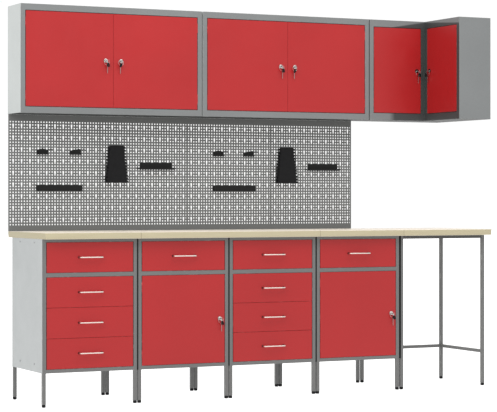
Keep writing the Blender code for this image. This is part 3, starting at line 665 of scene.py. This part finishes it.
# =============================================================== doors and locks
def door_mesh(x0, x1, z0, z1, lock_x, hinge_right):
    """A folded door that faces -y with its front at y = 0: outer pan with a lock hole, and an inner lining."""
    t = 1.2
    hole = disc(lock_x, (z0 + z1) / 2, 9.2, 28)
    bm = plate([(x0, z0), (x1, z0), (x1, z1), (x0, z1)], 0.0, t, [hole])
    rim = lattice([(x0, x1, 0.0, 15.0, z0, z1)], [(x0 + t, x1 - t, -1.0, 16.0, z0 + t, z1 - t), (x0, x1, -1.0, t, z0, z1)],
                  [(x0 + t, x0 + 15, 13.8, 15.0, z0 + t, z1 - t), (x1 - 15, x1 - t, 13.8, 15.0, z0 + t, z1 - t),
                   (x0 + t, x1 - t, 13.8, 15.0, z0 + t, z0 + 15), (x0 + t, x1 - t, 13.8, 15.0, z1 - 15, z1 - t)])
    out = join(bm, rim)
    bmesh.ops.remove_doubles(out, verts=out.verts[:], dist=0.01)
    return out


def lock_piece(name, place, body, door_body, tilt, hang):
    """Cam lock in local axes: x right, y into the door, z up, origin on the door's face. place puts it in the row.

    tilt leans the folded key to the right, hang is the ring's centre x, z and the x its spare key hangs at.
    """
    # barrel: flange with a rounded rim, recessed face and a body through the door
    barrel = turned([(0, -2.0), (6.6, -2.0), (7.0, -2.7), (8.8, -3.0), (9.9, -2.6), (10.5, -1.7), (10.6, -0.35),
                     (8.7, -0.3), (8.7, 16.2), (8.2, 16.8), (0, 16.8)], (0, 0, 0), "y", 40)
    plug = turned([(0, -2.6), (5.4, -2.6), (5.9, -2.2), (5.9, -1.9), (0, -1.9)], (0, 0, 0), "y", 32)
    # a black bar across the plug's face stands for the keyway slot: painted shade of the slot
    keyway = lattice([(-8.8, 8.8, -3.5, -2.75, -1.7, 1.7)])
    cam = plate([(-7, 7.0), (-6, 8.5), (6, 8.5), (7, 7.0), (6, -33), (4.5, -36.5), (0, -37.8), (-4.5, -36.5), (-6, -33)], 18.5, 20.3)
    nut = turned([(0, 17.0), (8.6, 17.0), (8.6, 18.4), (0, 18.4)], (0, 0, 0), "y", 6)
    tip = turned([(0, 20.3), (4.4, 20.3), (4.4, 21.6), (3.6, 22.1), (0, 22.1)], (0, 0, 0), "y", 6)
    # the corner locks take the nearly black chrome, painted shade and reflections of the inner corner
    piece(name + "_barrel", join(barrel, plug), "chrome_dark" if "corner" in name else "chrome", body, smooth=True, replaces=name, move=place)
    piece(name + "_keyway", keyway, "black", body, 0.1, 1, move=place)
    piece(name + "_cam", join(cam, nut, tip), ["steel", "steel"], body, smooth=True, move=place)
    turn = Matrix.Rotation(math.radians(tilt), 4, "Y")
    # key: a short blade in the lock, a hinge pin, a nickel neck folded down and a black plastic grip with an eye
    blade = lattice([(-3.4, 3.4, -15.4, -2.2, -0.9, 0.9)])
    bmesh.ops.bevel(blade, geom=blade.edges[:], offset=0.35, segments=2, affect="EDGES")
    pin = turned([(0, -3.0), (1.7, -3.0), (1.7, 3.0), (0, 3.0)], (0, -17.2, -1.8), "x", 16)
    neck = plate([(-2.8, -2.4), (2.8, -2.4), (3.4, -3.6), (3.4, -15.0), (-3.4, -15.0), (-3.4, -3.6)], -19.6, -17.6)
    # a thin black plate at the blade's outer end: painted shade where the key folds
    blade_fold_shade = lattice([(-3.4, 3.4, -16.0, -15.5, -2.2, 2.2)])
    piece(name + "_fold", blade_fold_shade, "black", body, 0.1, 1, move=place @ turn)
    piece(name + "_key", join(blade, pin, neck), "key", body, smooth=True, move=place @ turn)
    grip = plate([(-4.2, -13.0), (4.2, -13.0), (5.6, -15.0), (5.8, -28.0), (4.6, -32.2), (2.2, -34.2),
                  (-2.2, -34.2), (-4.6, -32.2), (-5.8, -28.0), (-5.6, -15.0)], -21.2, -16.4,
                 [disc(0, -29.3, 1.7, 14)])
    piece(name + "_grip", grip, "black", body, 0.8, 3, move=place @ turn)
    # a spare key hangs on a ring round the key's neck, so it stays upright on the door as the key turns
    ring = bmesh.new()
    steps, small = 44, 8
    rings = []
    for t in range(steps):
        w = 2 * math.pi * t / steps
        c = Vector((hang[0] + 14.0 * math.sin(w), -9.0, hang[1] + 14.0 * math.cos(w)))
        radial = Vector((math.sin(w), 0.0, math.cos(w)))
        rings.append([ring.verts.new(c + radial * 0.5 * math.cos(q) + Vector((0, 1, 0)) * 0.5 * math.sin(q))
                      for q in (2 * math.pi * s / small for s in range(small))])
    for t in range(steps):
        for s in range(small):
            ra, rb = rings[t], rings[(t + 1) % steps]
            ring.faces.new((ra[s], rb[s], rb[(s + 1) % small], ra[(s + 1) % small]))
    bmesh.ops.recalc_face_normals(ring, faces=ring.faces[:])
    hx = hang[2]
    spare_bow = plate(disc(hx, -25.6, 5.2, 24), -9.8, -8.2, [disc(hx, -23.0, 1.4, 12)])
    wide = 0.75 if "corner" in name else 0.45
    teeth = [(hx + wide * u, z) for u, z in (
        (-3.3, -30.0), (-3.3, -62.6), (0.0, -66.0), (2.2, -63.5), (2.2, -60.4), (3.3, -58.8), (2.4, -56.2), (3.3, -53.6),
        (1.9, -51.2), (3.3, -48.4), (3.3, -45.0), (2.3, -43.0), (3.3, -41.0), (3.3, -30.0))]
    spare_blade = plate(teeth, -9.8, -8.2)
    piece(name + "_spare_key", join(spare_bow, spare_blade), "chrome" if "corner" in name else "key_dull", door_body, 0.2, 2, move=place)
    piece(name + "_ring", ring, "steel", door_body, smooth=True, move=place)


def place_at(x, y, z, turn=0.0):
    return Matrix.Translation((x, y, z)) @ Matrix.Rotation(turn, 4, "Z")


def knuckle(bms, x, y, z, length=46.0, r=1.35):
    bms.append(turned([(0, -length / 2), (r - 0.4, -length / 2), (r, -length / 2 + 0.4), (r, -0.4), (r - 0.4, -0.2), (r - 0.4, 0.2),
                       (r, 0.4), (r, length / 2 - 0.4), (r - 0.4, length / 2), (0, length / 2)], (x, y, z), "z", 20))


def joint(name):
    return next(j for j in frame["joints"] if j["name"] == name)


def mm_point(p):
    return (p[0] * 1000 + OX, p[1] * 1000 + OY, p[2] * 1000)


def door(node, lock_node, tilt, side_arm=False):
    """A red door with its hinge knuckles and its lock. A side-arm door faces -x, so it is built facing -y and turned."""
    body = node + "_body"
    bx = mm_box(node)
    lx, ly, lz = mm_point(joint("turn_" + lock_node)["pos_m"])
    hx, hy, hz = mm_point(joint("hinge_" + node)["pos_m"])
    z0, z1 = bx[4], bx[5]
    turn = -math.pi / 2 if side_arm else 0.0
    # in local axes the door runs from 0 to its width, facing -y; for the side arm local x runs along -y of the row
    if side_arm:
        place = Matrix.Translation((bx[0], bx[3], 0.0)) @ Matrix.Rotation(turn, 4, "Z")
        width, lock_x, hinge_x = bx[3] - bx[2], bx[3] - ly, bx[3] - hy
    else:
        place = Matrix.Translation((bx[0], bx[2], 0.0))
        width, lock_x, hinge_x = bx[1] - bx[0], lx - bx[0], hx - bx[0]
    bm = door_mesh(0.0, width, z0, z1, lock_x, hinge_x > width / 2)
    piece(node + "_pan", bm, ["red", "red_edge"], body, 0.9, 3, node, move=place)
    # a stiffening channel across the inside, clear of the lock
    ch_x = width * (0.36 if lock_x > width / 2 else 0.64)
    channel = lattice([(ch_x - 22, ch_x + 22, 12.3, 13.6, z0 + 15, z1 - 15), (ch_x - 22, ch_x - 20.8, 1.4, 13.6, z0 + 15, z1 - 15),
                       (ch_x + 20.8, ch_x + 22, 1.4, 13.6, z0 + 15, z1 - 15)])
    piece(node + "_channel", channel, ["red", "red_edge"], body, 0.4, 2, move=place)
    bms = []
    for zz in (z0 + 55, z1 - 55):
        knuckle(bms, hinge_x, 0.0, zz)
    piece(node + "_hinges", join(*bms), "red_edge", body, smooth=True, move=place)
    hang = (math.copysign(3.8, -tilt), -9.0, math.copysign(7.0, -tilt))
    lock_piece(lock_node, place_at(lx, ly, lz, turn), lock_node + "_body", body, tilt, hang)


# =============================================================== corner table, worktop
def corner_table():
    node = "corner_table_frame"
    x0, x1, y0, y1, z0, z1 = mm_box(node)
    t = TUBE
    bars = [
        (x0, x0 + t, 0, t, FOOT, z1), (x1 - t, x1, 0, t, FOOT, z1), (x0, x0 + t, y1 - t, y1, FOOT, z1),
        (x1 - t, x1, y1 - t, y1, FOOT, z1),
        (x0, x1, y1 - t, y1, 177.0, 193.5), (x0, x0 + t, 0, y1, 177.0, 193.5), (x1 - t, x1, 0, y1, 177.0, 193.5),
    ]
    piece("table_tubes", lattice(bars), ["base", "base_edge"], ROW, 1.3, 3, node)
    rails = [(x0 + t, x1 - t, 0, t, z1 - t, z1), (x0 + t, x1 - t, y1 - t, y1, z1 - t, z1),
             (x0, x0 + t, t, y1 - t, z1 - t, z1), (x1 - t, x1, t, y1 - t, z1 - t, z1)]
    # the four top rails take the darker rail grey, painted shade under the worktop
    for k, rail in enumerate(rails):
        piece(f"table_rail_{k + 1}", lattice([rail]), "rail", ROW, 0.6, 2)
    feet = []
    for fx0, fx1 in ((x0, x0 + t), (x1 - t, x1)):
        foot(feet, fx0, fx1, 0, t)
        foot(feet, fx0, fx1, y1 - t, y1)
    piece("feet_table", join(*feet), "black", ROW, smooth=True)


def worktops():
    for k in range(4):
        node = f"worktop_{k + 1}"
        x0, x1, y0, y1, z0, z1 = mm_box(node)
        bm = lattice([(x0, x1, y0, y1, z0, z1)])
        e = 1.6
        bmesh.ops.bevel(bm, geom=[ed for ed in bm.edges], offset=e, segments=3, affect="EDGES", profile=0.55)
        for f in bm.faces:
            f.material_index = 0 if abs(f.normal.z) > 0.6 else 1
            f.smooth = True
        piece(f"board_{k + 1}", bm, ["beech", "ply"], ROW, replaces=node, smooth=True, angle=30)
        if k:       # dark line at the bottom of the V groove between two boards
            j = x0 - 0.15
            seam = lattice([(j - 1.1, j + 1.1, y0 + 0.5, y0 + 1.7, z0 + 1.0, z1 - 0.5), (j - 1.1, j + 1.1, y0 + 0.5, y1 - 1.0, z1 - 1.7, z1 - 0.5)])
            piece(f"board_seam_{k}", seam, "seam", ROW, 0.1, 1)


# =============================================================== tool panels and holders
PITCH_X, PITCH_Z, HOLE, ROWS_DOWN = 14.99, 14.9, 6.7, 2.0


def tool_panel_mesh(w, h):
    """Perforated sheet with a folded rim. Local x from 0 to w, y from 0 at its face, z from 0 to h."""
    cols, rows = 33, 36
    mx, mz = (w - PITCH_X * (cols - 1)) / 2, (h - PITCH_Z * (rows - 1)) / 2
    t = 1.3
    solid = [(0, w, 0, t, 0, h)]
    cuts = []
    slot_tops = {r for r in range(rows) if r % 4 == 1}          # counted from the top
    for c in range(cols):
        xc = mx + PITCH_X * c
        for r in range(rows):
            zc = h - mz - ROWS_DOWN - PITCH_Z * r
            if c % 3 == 1 and r in slot_tops:
                cuts.append((xc - 4.5, xc + 4.5, -1, t + 1, zc - 5.0, zc + 5.0))
                cuts.append((xc - 3.2, xc + 3.2, -1, t + 1, zc - PITCH_Z - 3.6, zc - 5.0))
            elif c % 3 == 1 and (r - 1) in slot_tops:
                continue
            else:
                cuts.append((xc - HOLE / 2, xc + HOLE / 2, -1, t + 1, zc - HOLE / 2, zc + HOLE / 2))
    rim = [(0, w, 0, 12.4, 0, t), (0, w, 0, 12.4, h - t, h), (0, t, 0, 12.4, 0, h), (w - t, w, 0, 12.4, 0, h)]
    bm = lattice(solid, cuts, rim, dissolve=False)
    # strips between holes stay as quads; nothing is merged
    return bm


def tool_panels():
    x0, x1, y0, y1, z0, z1 = mm_box("tool_panel_2")
    w, h = x1 - x0, z1 - z0
    bm = tool_panel_mesh(w, h)
    bm.transform(Matrix.Scale(MM, 4))
    mesh = bpy.data.meshes.new("perforated_sheet")
    bm.to_mesh(mesh)
    bm.free()
    mesh.materials.append(M["peg"])
    for k in range(4):
        node = f"tool_panel_{k + 1}"
        b = mm_box(node)
        ob = bpy.data.objects.new(f"perforated_panel_{k + 1}", mesh)
        bpy.context.scene.collection.objects.link(ob)
        ob.location = TO_ROW @ Vector((b[1] - w, b[2], b[4]))
        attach(ob, ROW)
        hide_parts(node)


def holders():
    face = mm_box("tool_panel_1")[2]
    for n, dx in ((1, 0.0), (2, 991.5)):
        # long rail: shelf with a lip and a row of holes for screwdrivers
        x0, x1, y0, y1, z0, z1 = mm_box(f"long_rail_{n}")
        holes = []
        cells = 12
        for c in range(cells):
            xc = x0 + (x1 - x0) * (c + 0.5) / cells
            holes.append((xc - 4.2, xc + 4.2, y0 + 4.5, y0 + 13.5, z0 - 1, z0 + 3))
        rail = lattice([(x0, x1, y1 - 1.6, y1, z0, z1), (x0, x1, y0, y1, z0, z0 + 1.6), (x0, x1, y0, y0 + 1.6, z0, z0 + 28.5)],
                       holes)
        piece(f"screwdriver_rail_{n}", rail, ["holder", "holder_edge"], ROW, 0.6, 2, f"long_rail_{n}")
        clips(f"long_rail_clips_{n}", [(x0 + 14, z1 - 6), (x1 - 14, z1 - 6)], y1)
        # short rail: a plate with a lip along its foot, and a small hook behind it on each side
        x0, x1, y0, y1, z0, z1 = mm_box(f"short_rail_{n}")
        angle = lattice([(x0 + 17, x1 - 17, y1 - 1.8, y1 - 0.1, z0, z1), (x0 + 17, x1 - 17, y0, y1 - 0.1, z0, z0 + 1.7),
                         (x0 + 17, x1 - 17, y0, y0 + 1.7, z0, z0 + 10)],
                        [(xc - 3.2, xc + 3.2, y0 + 6, y0 + 19, z0 - 1, z0 + 3)
                         for xc in (x0 + 17 + (x1 - x0 - 34) * (c + 0.5) / 5 for c in range(5))])
        hooks = [lattice([(xa, xb, y1 - 3.6, y1 - 1.9, z0 + 2, z0 + 7), (xt, xt + 2.6, y1 - 3.6, y1 - 1.9, z0 + 2, z0 + 14)])
                 for xa, xb, xt in ((x0, x0 + 18, x0), (x1 - 18, x1, x1 - 2.6))]
        piece(f"plier_rail_{n}", join(angle, *hooks), ["holder", "holder_edge"], ROW, 0.4, 2, f"short_rail_{n}")
        # wedge block with notched sides, for spanners of growing size
        x0, x1, y0, y1, z0, z1 = mm_box(f"wrench_block_{n}")
        xc = (x0 + x1) / 2
        teeth = 12
        right = []
        step = (z1 - z0) / teeth
        for k in range(teeth):
            za = z0 + step * k
            def half(z):
                return 64.0 + (44.5 - 64.0) * (z - z0) / (z1 - z0)
            right += [(half(za) - 0.2, za + 0.4), (half(za + step * 0.55) - 0.2, za + step * 0.55),
                      (half(za + step * 0.66) - 9.0, za + step * 0.66), (half(za + step * 0.97) - 9.0, za + step * 0.97)]
        outline = [(xc + hx, zz) for hx, zz in right] + [(xc - hx, zz) for hx, zz in reversed(right)]
        body = plate(outline, y0 + 0.2, y1)
        ribs = []
        for k in range(teeth):
            za = z0 + step * (k + 0.2)
            hw = 64.0 + (44.5 - 64.0) * (za - z0) / (z1 - z0) - 13.0
            ribs.append(lattice([(xc - hw, xc + hw, y0, y0 + 1.0, za, za + step * 0.34)]))
        piece(f"spanner_block_{n}", body, ["black", "black"], ROW, 0.7, 2, f"wrench_block_{n}")
        piece(f"spanner_block_ribs_{n}", join(*ribs), "black", ROW, 0.35, 2)
        # two small clip-in holders above the long rail: a bracket with a peaked back and a thin peg that points right
        for k, xa in enumerate((147.5 + dx, 325.5 + dx)):
            x_0, x_1, zb, zt = xa, xa + 62.0, 1234.5, 1259.0
            y_1 = face - 0.3
            peak = 0.5 if k == 0 else 0.85
            xp = x_0 + 62.0 * peak
            back = plate([(x_0, zb), (x_1, zb), (x_1, zt + (0 if k == 0 else 3)), (xp + 2, zt + 6), (xp - 2, zt + 6), (x_0, zt - (0 if k == 0 else 4))],
                         y_1 - 1.6, y_1)
            tray = lattice([(x_0, x_1, y_1 - 12, y_1 - 1.7, zb, zb + 1.6), (x_0, x_1, y_1 - 12, y_1 - 10.4, zb, zb + 9)],
                           [(x_0 + 14, x_0 + 24, y_1 - 9.5, y_1 - 3, zb - 1, zb + 3), (x_1 - 24, x_1 - 14, y_1 - 9.5, y_1 - 3, zb - 1, zb + 3)])
            peg = turned([(0, 0), (1.5, 0), (1.5, 24.5), (1.1, 25.5), (0, 25.5)], (x_1 - 0.5, y_1 - 2.4, zt + 2.0), "x", 12)
            piece(f"small_holder_{n}{'ab'[k]}", join(back, tray, peg), ["holder", "holder_edge"], ROW, 0.3, 2)
            clips(f"small_holder_clips_{n}{'ab'[k]}", [(x_0 + 9, zt - 6), (x_1 - 9, zt - 6)], y_1)


def clips(name, spots, y1):
    """Hooks that pass through the perforation behind a holder."""
    parts = []
    for x, z in spots:
        parts.append(lattice([(x - 2, x + 2, y1 - 2.4, y1, z - 3, z + 3)]))
    piece(name, join(*parts), ["holder_edge", "holder_edge"], ROW, 0.5, 2)


# =============================================================== wall cabinets
WALL0, WALL1 = 1437.0, 1983.0
BORDER, BORDER_Z, CORNER_Z = 24.0, 32.0, 38.0


def wall_cabinet(n):
    node = f"wall_cabinet_{n}"
    x0, x1, f, w, z0, z1 = mm_box(node)
    s, g = SHEET, 0.12
    shell = lattice([(x0, x1, f + s + g, w, z0, z1)],
                    [(x0 + s, x1 - s, f, w - s, z0 + s, z1 - s), (x0 - 1, x1 + 1, f, w - s, z0 - 1, z0 + s)])
    piece(f"wall_body_{n}", shell, ["light", "light_edge"], ROW, 0.6, 2, node)
    # the bottom sheet is near black, painted shade on the underside
    piece(f"wall_bottom_{n}", lattice([(x0 + 0.1, x1 - 0.1, f + s + g, w - s - g, z0 + 0.05, z0 + s - 0.1)]), "under", ROW, 0.3, 2)
    za, zb = z0 + BORDER_Z, z1 - BORDER_Z
    border = lattice([(x0, x1, f, f + s, z0, z1)], [(x0 + BORDER, x1 - BORDER, f - 1, f + s + 1, za, zb)],
                     [(x0 + BORDER - s, x0 + BORDER, f, f + 17, za - s, zb + s), (x1 - BORDER, x1 - BORDER + s, f, f + 17, za - s, zb + s),
                      (x0 + BORDER, x1 - BORDER, f, f + 17, za - s, za), (x0 + BORDER, x1 - BORDER, f, f + 17, zb, zb + s)])
    piece(f"wall_border_{n}", border, ["grey", "grey_edge"], ROW, 0.7, 3)
    xa, xb = x0 + BORDER + 0.02, x1 - BORDER - 0.02
    # black seals round the door opening, which also paint the shade in the gaps round the doors
    seal = lattice([(xa, xa + SEAL, f + 1.7, f + 14, za, zb), (xb - SEAL, xb, f + 1.7, f + 14, za, zb),
                    (xa, xb, f + 1.7, f + 14, zb - SEAL, zb - 0.02), (xa, xb, f + 1.7, f + 14, za + 0.02, za + SEAL)])
    piece(f"wall_seal_{n}", seal, "seal", ROW, 0.15, 1)
    xm = (x0 + x1) / 2
    post = lattice([(xm - 19, xm + 19, f + 15.8, f + 17.3, z0 + s, z1 - s), (xm - 19, xm - 17.8, f + 17.3, f + 17.9, z0 + s, z1 - s),
                    (xm + 17.8, xm + 19, f + 17.3, f + 17.9, z0 + s, z1 - s)])
    piece(f"wall_post_{n}", post, ["grey", "grey_edge"], ROW, 0.35, 2)
    zs = 1650.0
    shelf = lattice([(x0 + s + 0.4, x1 - s - 0.4, f + 28, w - s - 0.2, zs, zs + 1.2), (x0 + s + 0.4, x1 - s - 0.4, f + 28, f + 29.2, zs - 14, zs + 1.2),
                     (x0 + s + 0.4, x1 - s - 0.4, f + 29.2, f + 36, zs - 14, zs - 12.8)])
    piece(f"wall_shelf_{n}", shelf, ["light", "light_edge"], ROW, 0.35, 2)
    caps = []
    for xx in (x0 + 60, x1 - 60):
        caps.append(turned([(0, -2.2), (6.0, -2.2), (8.5, -1.4), (9.0, 0), (0, 0)], (xx, w - s, z1 - 45), "y", 24))
    piece(f"wall_screws_{n}", join(*caps), "steel", ROW, smooth=True)
    for side, tilt in (("left", -20.0), ("right", 20.0)):
        door(f"wall_door_{n}_{side}", f"lock_wall_{n}_{side}", tilt)


def corner_cabinet():
    node = "corner_wall_cabinet"
    x0, x1, ay, w, z0, z1 = mm_box(node)
    f, ax, s, g = 312.0, 2345.0, SHEET, 0.12
    za, zb = z0 + CORNER_Z, z1 - CORNER_Z
    cp = 23.0
    shell = lattice(
        [(x0, x1, f + s + g, w, z0, z1), (ax + s + g, x1, ay, w, z0, z1)],
        [(x0 + s, x1 - s, f + s, w - s, z0 + s, z1 - s), (ax + s, x1 - s, ay + s, w - s, z0 + s, z1 - s),
         (x0 - 1, x1 + 1, f, w - s, z0 - 1, z0 + s), (ax, x1 - s, ay + s, w - s, z0 - 1, z0 + s)],
    )
    piece("corner_body", shell, ["grey", "grey_edge"], ROW, 0.8, 3, node)
    # the bottom sheet is near black, painted shade on the underside
    bottom = lattice([(x0 + 0.1, x1 - s - g, f + s + g, w - s - g, z0 + 0.05, z0 + s - 0.1),
                      (ax + s + g, x1 - s - g, ay + s + g, w - s - g, z0 + 0.05, z0 + s - 0.1)])
    piece("corner_bottom", bottom, "under", ROW, 0.3, 2)
    border = lattice(
        [(x0, ax + s, f, f + s, z0, z1), (ax, ax + s, ay, f + s, z0, z1)],
        [(x0 + BORDER, ax - cp, f - 1, f + s + 1, za, zb), (ax - 1, ax + s + 1, ay + BORDER, f - cp, za, zb)],
        [(x0 + BORDER - s, x0 + BORDER, f, f + 17, za - s, zb + s), (x0 + BORDER, ax - cp, f, f + 17, za - s, za),
         (x0 + BORDER, ax - cp, f, f + 17, zb, zb + s),
         (ax, ax + 17, ay + BORDER - s, ay + BORDER, za - s, zb + s), (ax, ax + 17, ay + BORDER, f - cp, za - s, za),
         (ax, ax + 17, ay + BORDER, f - cp, zb, zb + s)],
    )
    # this border carries the painted shade towards the inner corner
    piece("corner_border", border, ["corner"], ROW, 0.7, 3)
    xa, xb, ya, yb = x0 + BORDER + 0.02, ax - cp - 0.02, ay + BORDER + 0.02, f - cp - 0.02
    # black seals round both door openings, which also paint the shade in the gaps round the doors
    seal = lattice([(xa, xa + SEAL, f + 1.7, f + 14, za, zb), (xb - SEAL, xb, f + 1.7, f + 14, za, zb),
                    (xa, xb, f + 1.7, f + 14, zb - SEAL, zb - 0.02), (xa, xb, f + 1.7, f + 14, za + 0.02, za + SEAL)])
    piece("corner_seal_left", seal, "seal", ROW, 0.15, 1)
    seal = lattice([(ax + 1.7, ax + 14, ya, ya + SEAL, za, zb), (ax + 1.7, ax + 14, yb - SEAL, yb, za, zb),
                    (ax + 1.7, ax + 14, ya, yb, zb - SEAL, zb - 0.02), (ax + 1.7, ax + 14, ya, yb, za + 0.02, za + SEAL)])
    piece("corner_seal_right", seal, "seal", ROW, 0.15, 1)
    # the strip at the inner corner is a near-black angle: painted shade for the deep inner corner
    post = lattice([(ax - cp + 0.1, ax - 0.3, f - 0.5, f - 0.1, za + 0.3, zb - 0.3), (ax - 0.5, ax - 0.1, f - cp + 0.1, f - 0.1, za + 0.3, zb - 0.3),
                    ])
    piece("corner_post_cover", post, "post", ROW, 0.12, 1)
    bar = lattice([(ax - cp, ax + 16, f + s + 0.2, f + 16, z0 + s, z1 - s), (ax + s + 0.2, ax + 16, f - cp, f + 16, z0 + s, z1 - s)])
    piece("corner_post_bar", bar, ["grey", "grey_edge"], ROW, 0.6, 2)
    door("corner_door_left", "lock_corner_left", -20.0)
    door("corner_door_right", "lock_corner_right", 20.0, side_arm=True)


# =============================================================== build everything
for i in range(4):
    base_cabinet(i)
    drawer(i, "a")
    if i % 2 == 0:
        for letter in "bcd":
            drawer(i, letter)
    else:
        door(f"base_door_{i + 1}", f"lock_base_{i + 1}", -20.0)
        node = f"base_shelf_{i + 1}"
        x0, x1, y0, y1, z0, z1 = mm_box(node)
        shelf = lattice([(x0, x1, y0, y1, z1 - 1.2, z1), (x0, x1, y0, y0 + 1.2, z0, z1), (x0, x1, y1 - 1.2, y1, z0, z1),
                         (x0, x1, y0 + 1.2, y0 + 8, z0, z0 + 1.2)])
        piece(f"cupboard_shelf_{i + 1}", shelf, ["light", "light_edge"], ROW, 0.4, 2, node)
corner_table()
unit_joints()
worktops()
tool_panels()
holders()
for n in (1, 2):
    wall_cabinet(n)
corner_cabinet()

# =============================================================== floor, light and camera
floor_net = Net("studio_floor")
floor_tone = floor_net.ramp(floor_net.noise(0.6, 3.0), [(0.3, (0.235, 0.235, 0.235)), (0.7, (0.245, 0.245, 0.245))])
floor_net.set(Base_Color=floor_tone, Roughness=0.7, Emission_Color=(1.0, 1.0, 1.0, 1.0), Emission_Strength=1.08)
fbm = bmesh.new()
bmesh.ops.create_grid(fbm, x_segments=1, y_segments=1, size=40.0)
floor_mesh = bpy.data.meshes.new("floor")
fbm.to_mesh(floor_mesh)
fbm.free()
floor = bpy.data.objects.new("floor", floor_mesh)
bpy.context.scene.collection.objects.link(floor)
floor.location = (0, 0, -0.0005)
floor_mesh.materials.append(floor_net.mat)

world = bpy.data.worlds.new("studio")
bpy.context.scene.world = world
world.use_nodes = True
bg = world.node_tree.nodes["Background"]
bg.inputs["Color"].default_value = (1.0, 1.0, 1.0, 1.0)
bg.inputs["Strength"].default_value = 1.03
bpy.context.scene.view_settings.view_transform = "Standard"


def area(name, location, target, size, power, colour=(1, 1, 1)):
    light = bpy.data.lights.new(name, "AREA")
    light.shape = "RECTANGLE"
    light.size, light.size_y = size
    light.energy = power
    light.color = colour
    ob = bpy.data.objects.new(name, light)
    bpy.context.scene.collection.objects.link(ob)
    ob.location = location
    ob.rotation_euler = (Vector(target) - Vector(location)).to_track_quat("-Z", "Y").to_euler()
    return ob


area("key", (-5.5, -4.2, 4.2), (0.0, 0.0, 1.0), (3.0, 3.0), 176.0)
area("over", (0.2, -2.6, 4.4), (0.1, -0.9, 0.0), (5.0, 2.4), 125.0)

cam_data = bpy.data.cameras.new("camera")
cam = bpy.data.objects.new("camera", cam_data)
bpy.context.scene.collection.objects.link(cam)
FOCAL_PX, HORIZON, YAW = 1914.3, 196.81, math.radians(26.17)
cam_data.sensor_fit = "HORIZONTAL"
cam_data.sensor_width = 36.0
cam_data.lens = 36.0 * FOCAL_PX / 497.0
cam_data.shift_y = (HORIZON - 206.0) / 497.0
cam_data.clip_end = 200.0
cam.location = TO_ROW @ Vector((-3180.0, -8729.0, 1019.0))
cam.rotation_euler = (math.radians(90), 0.0, -YAW)
bpy.context.scene.camera = cam
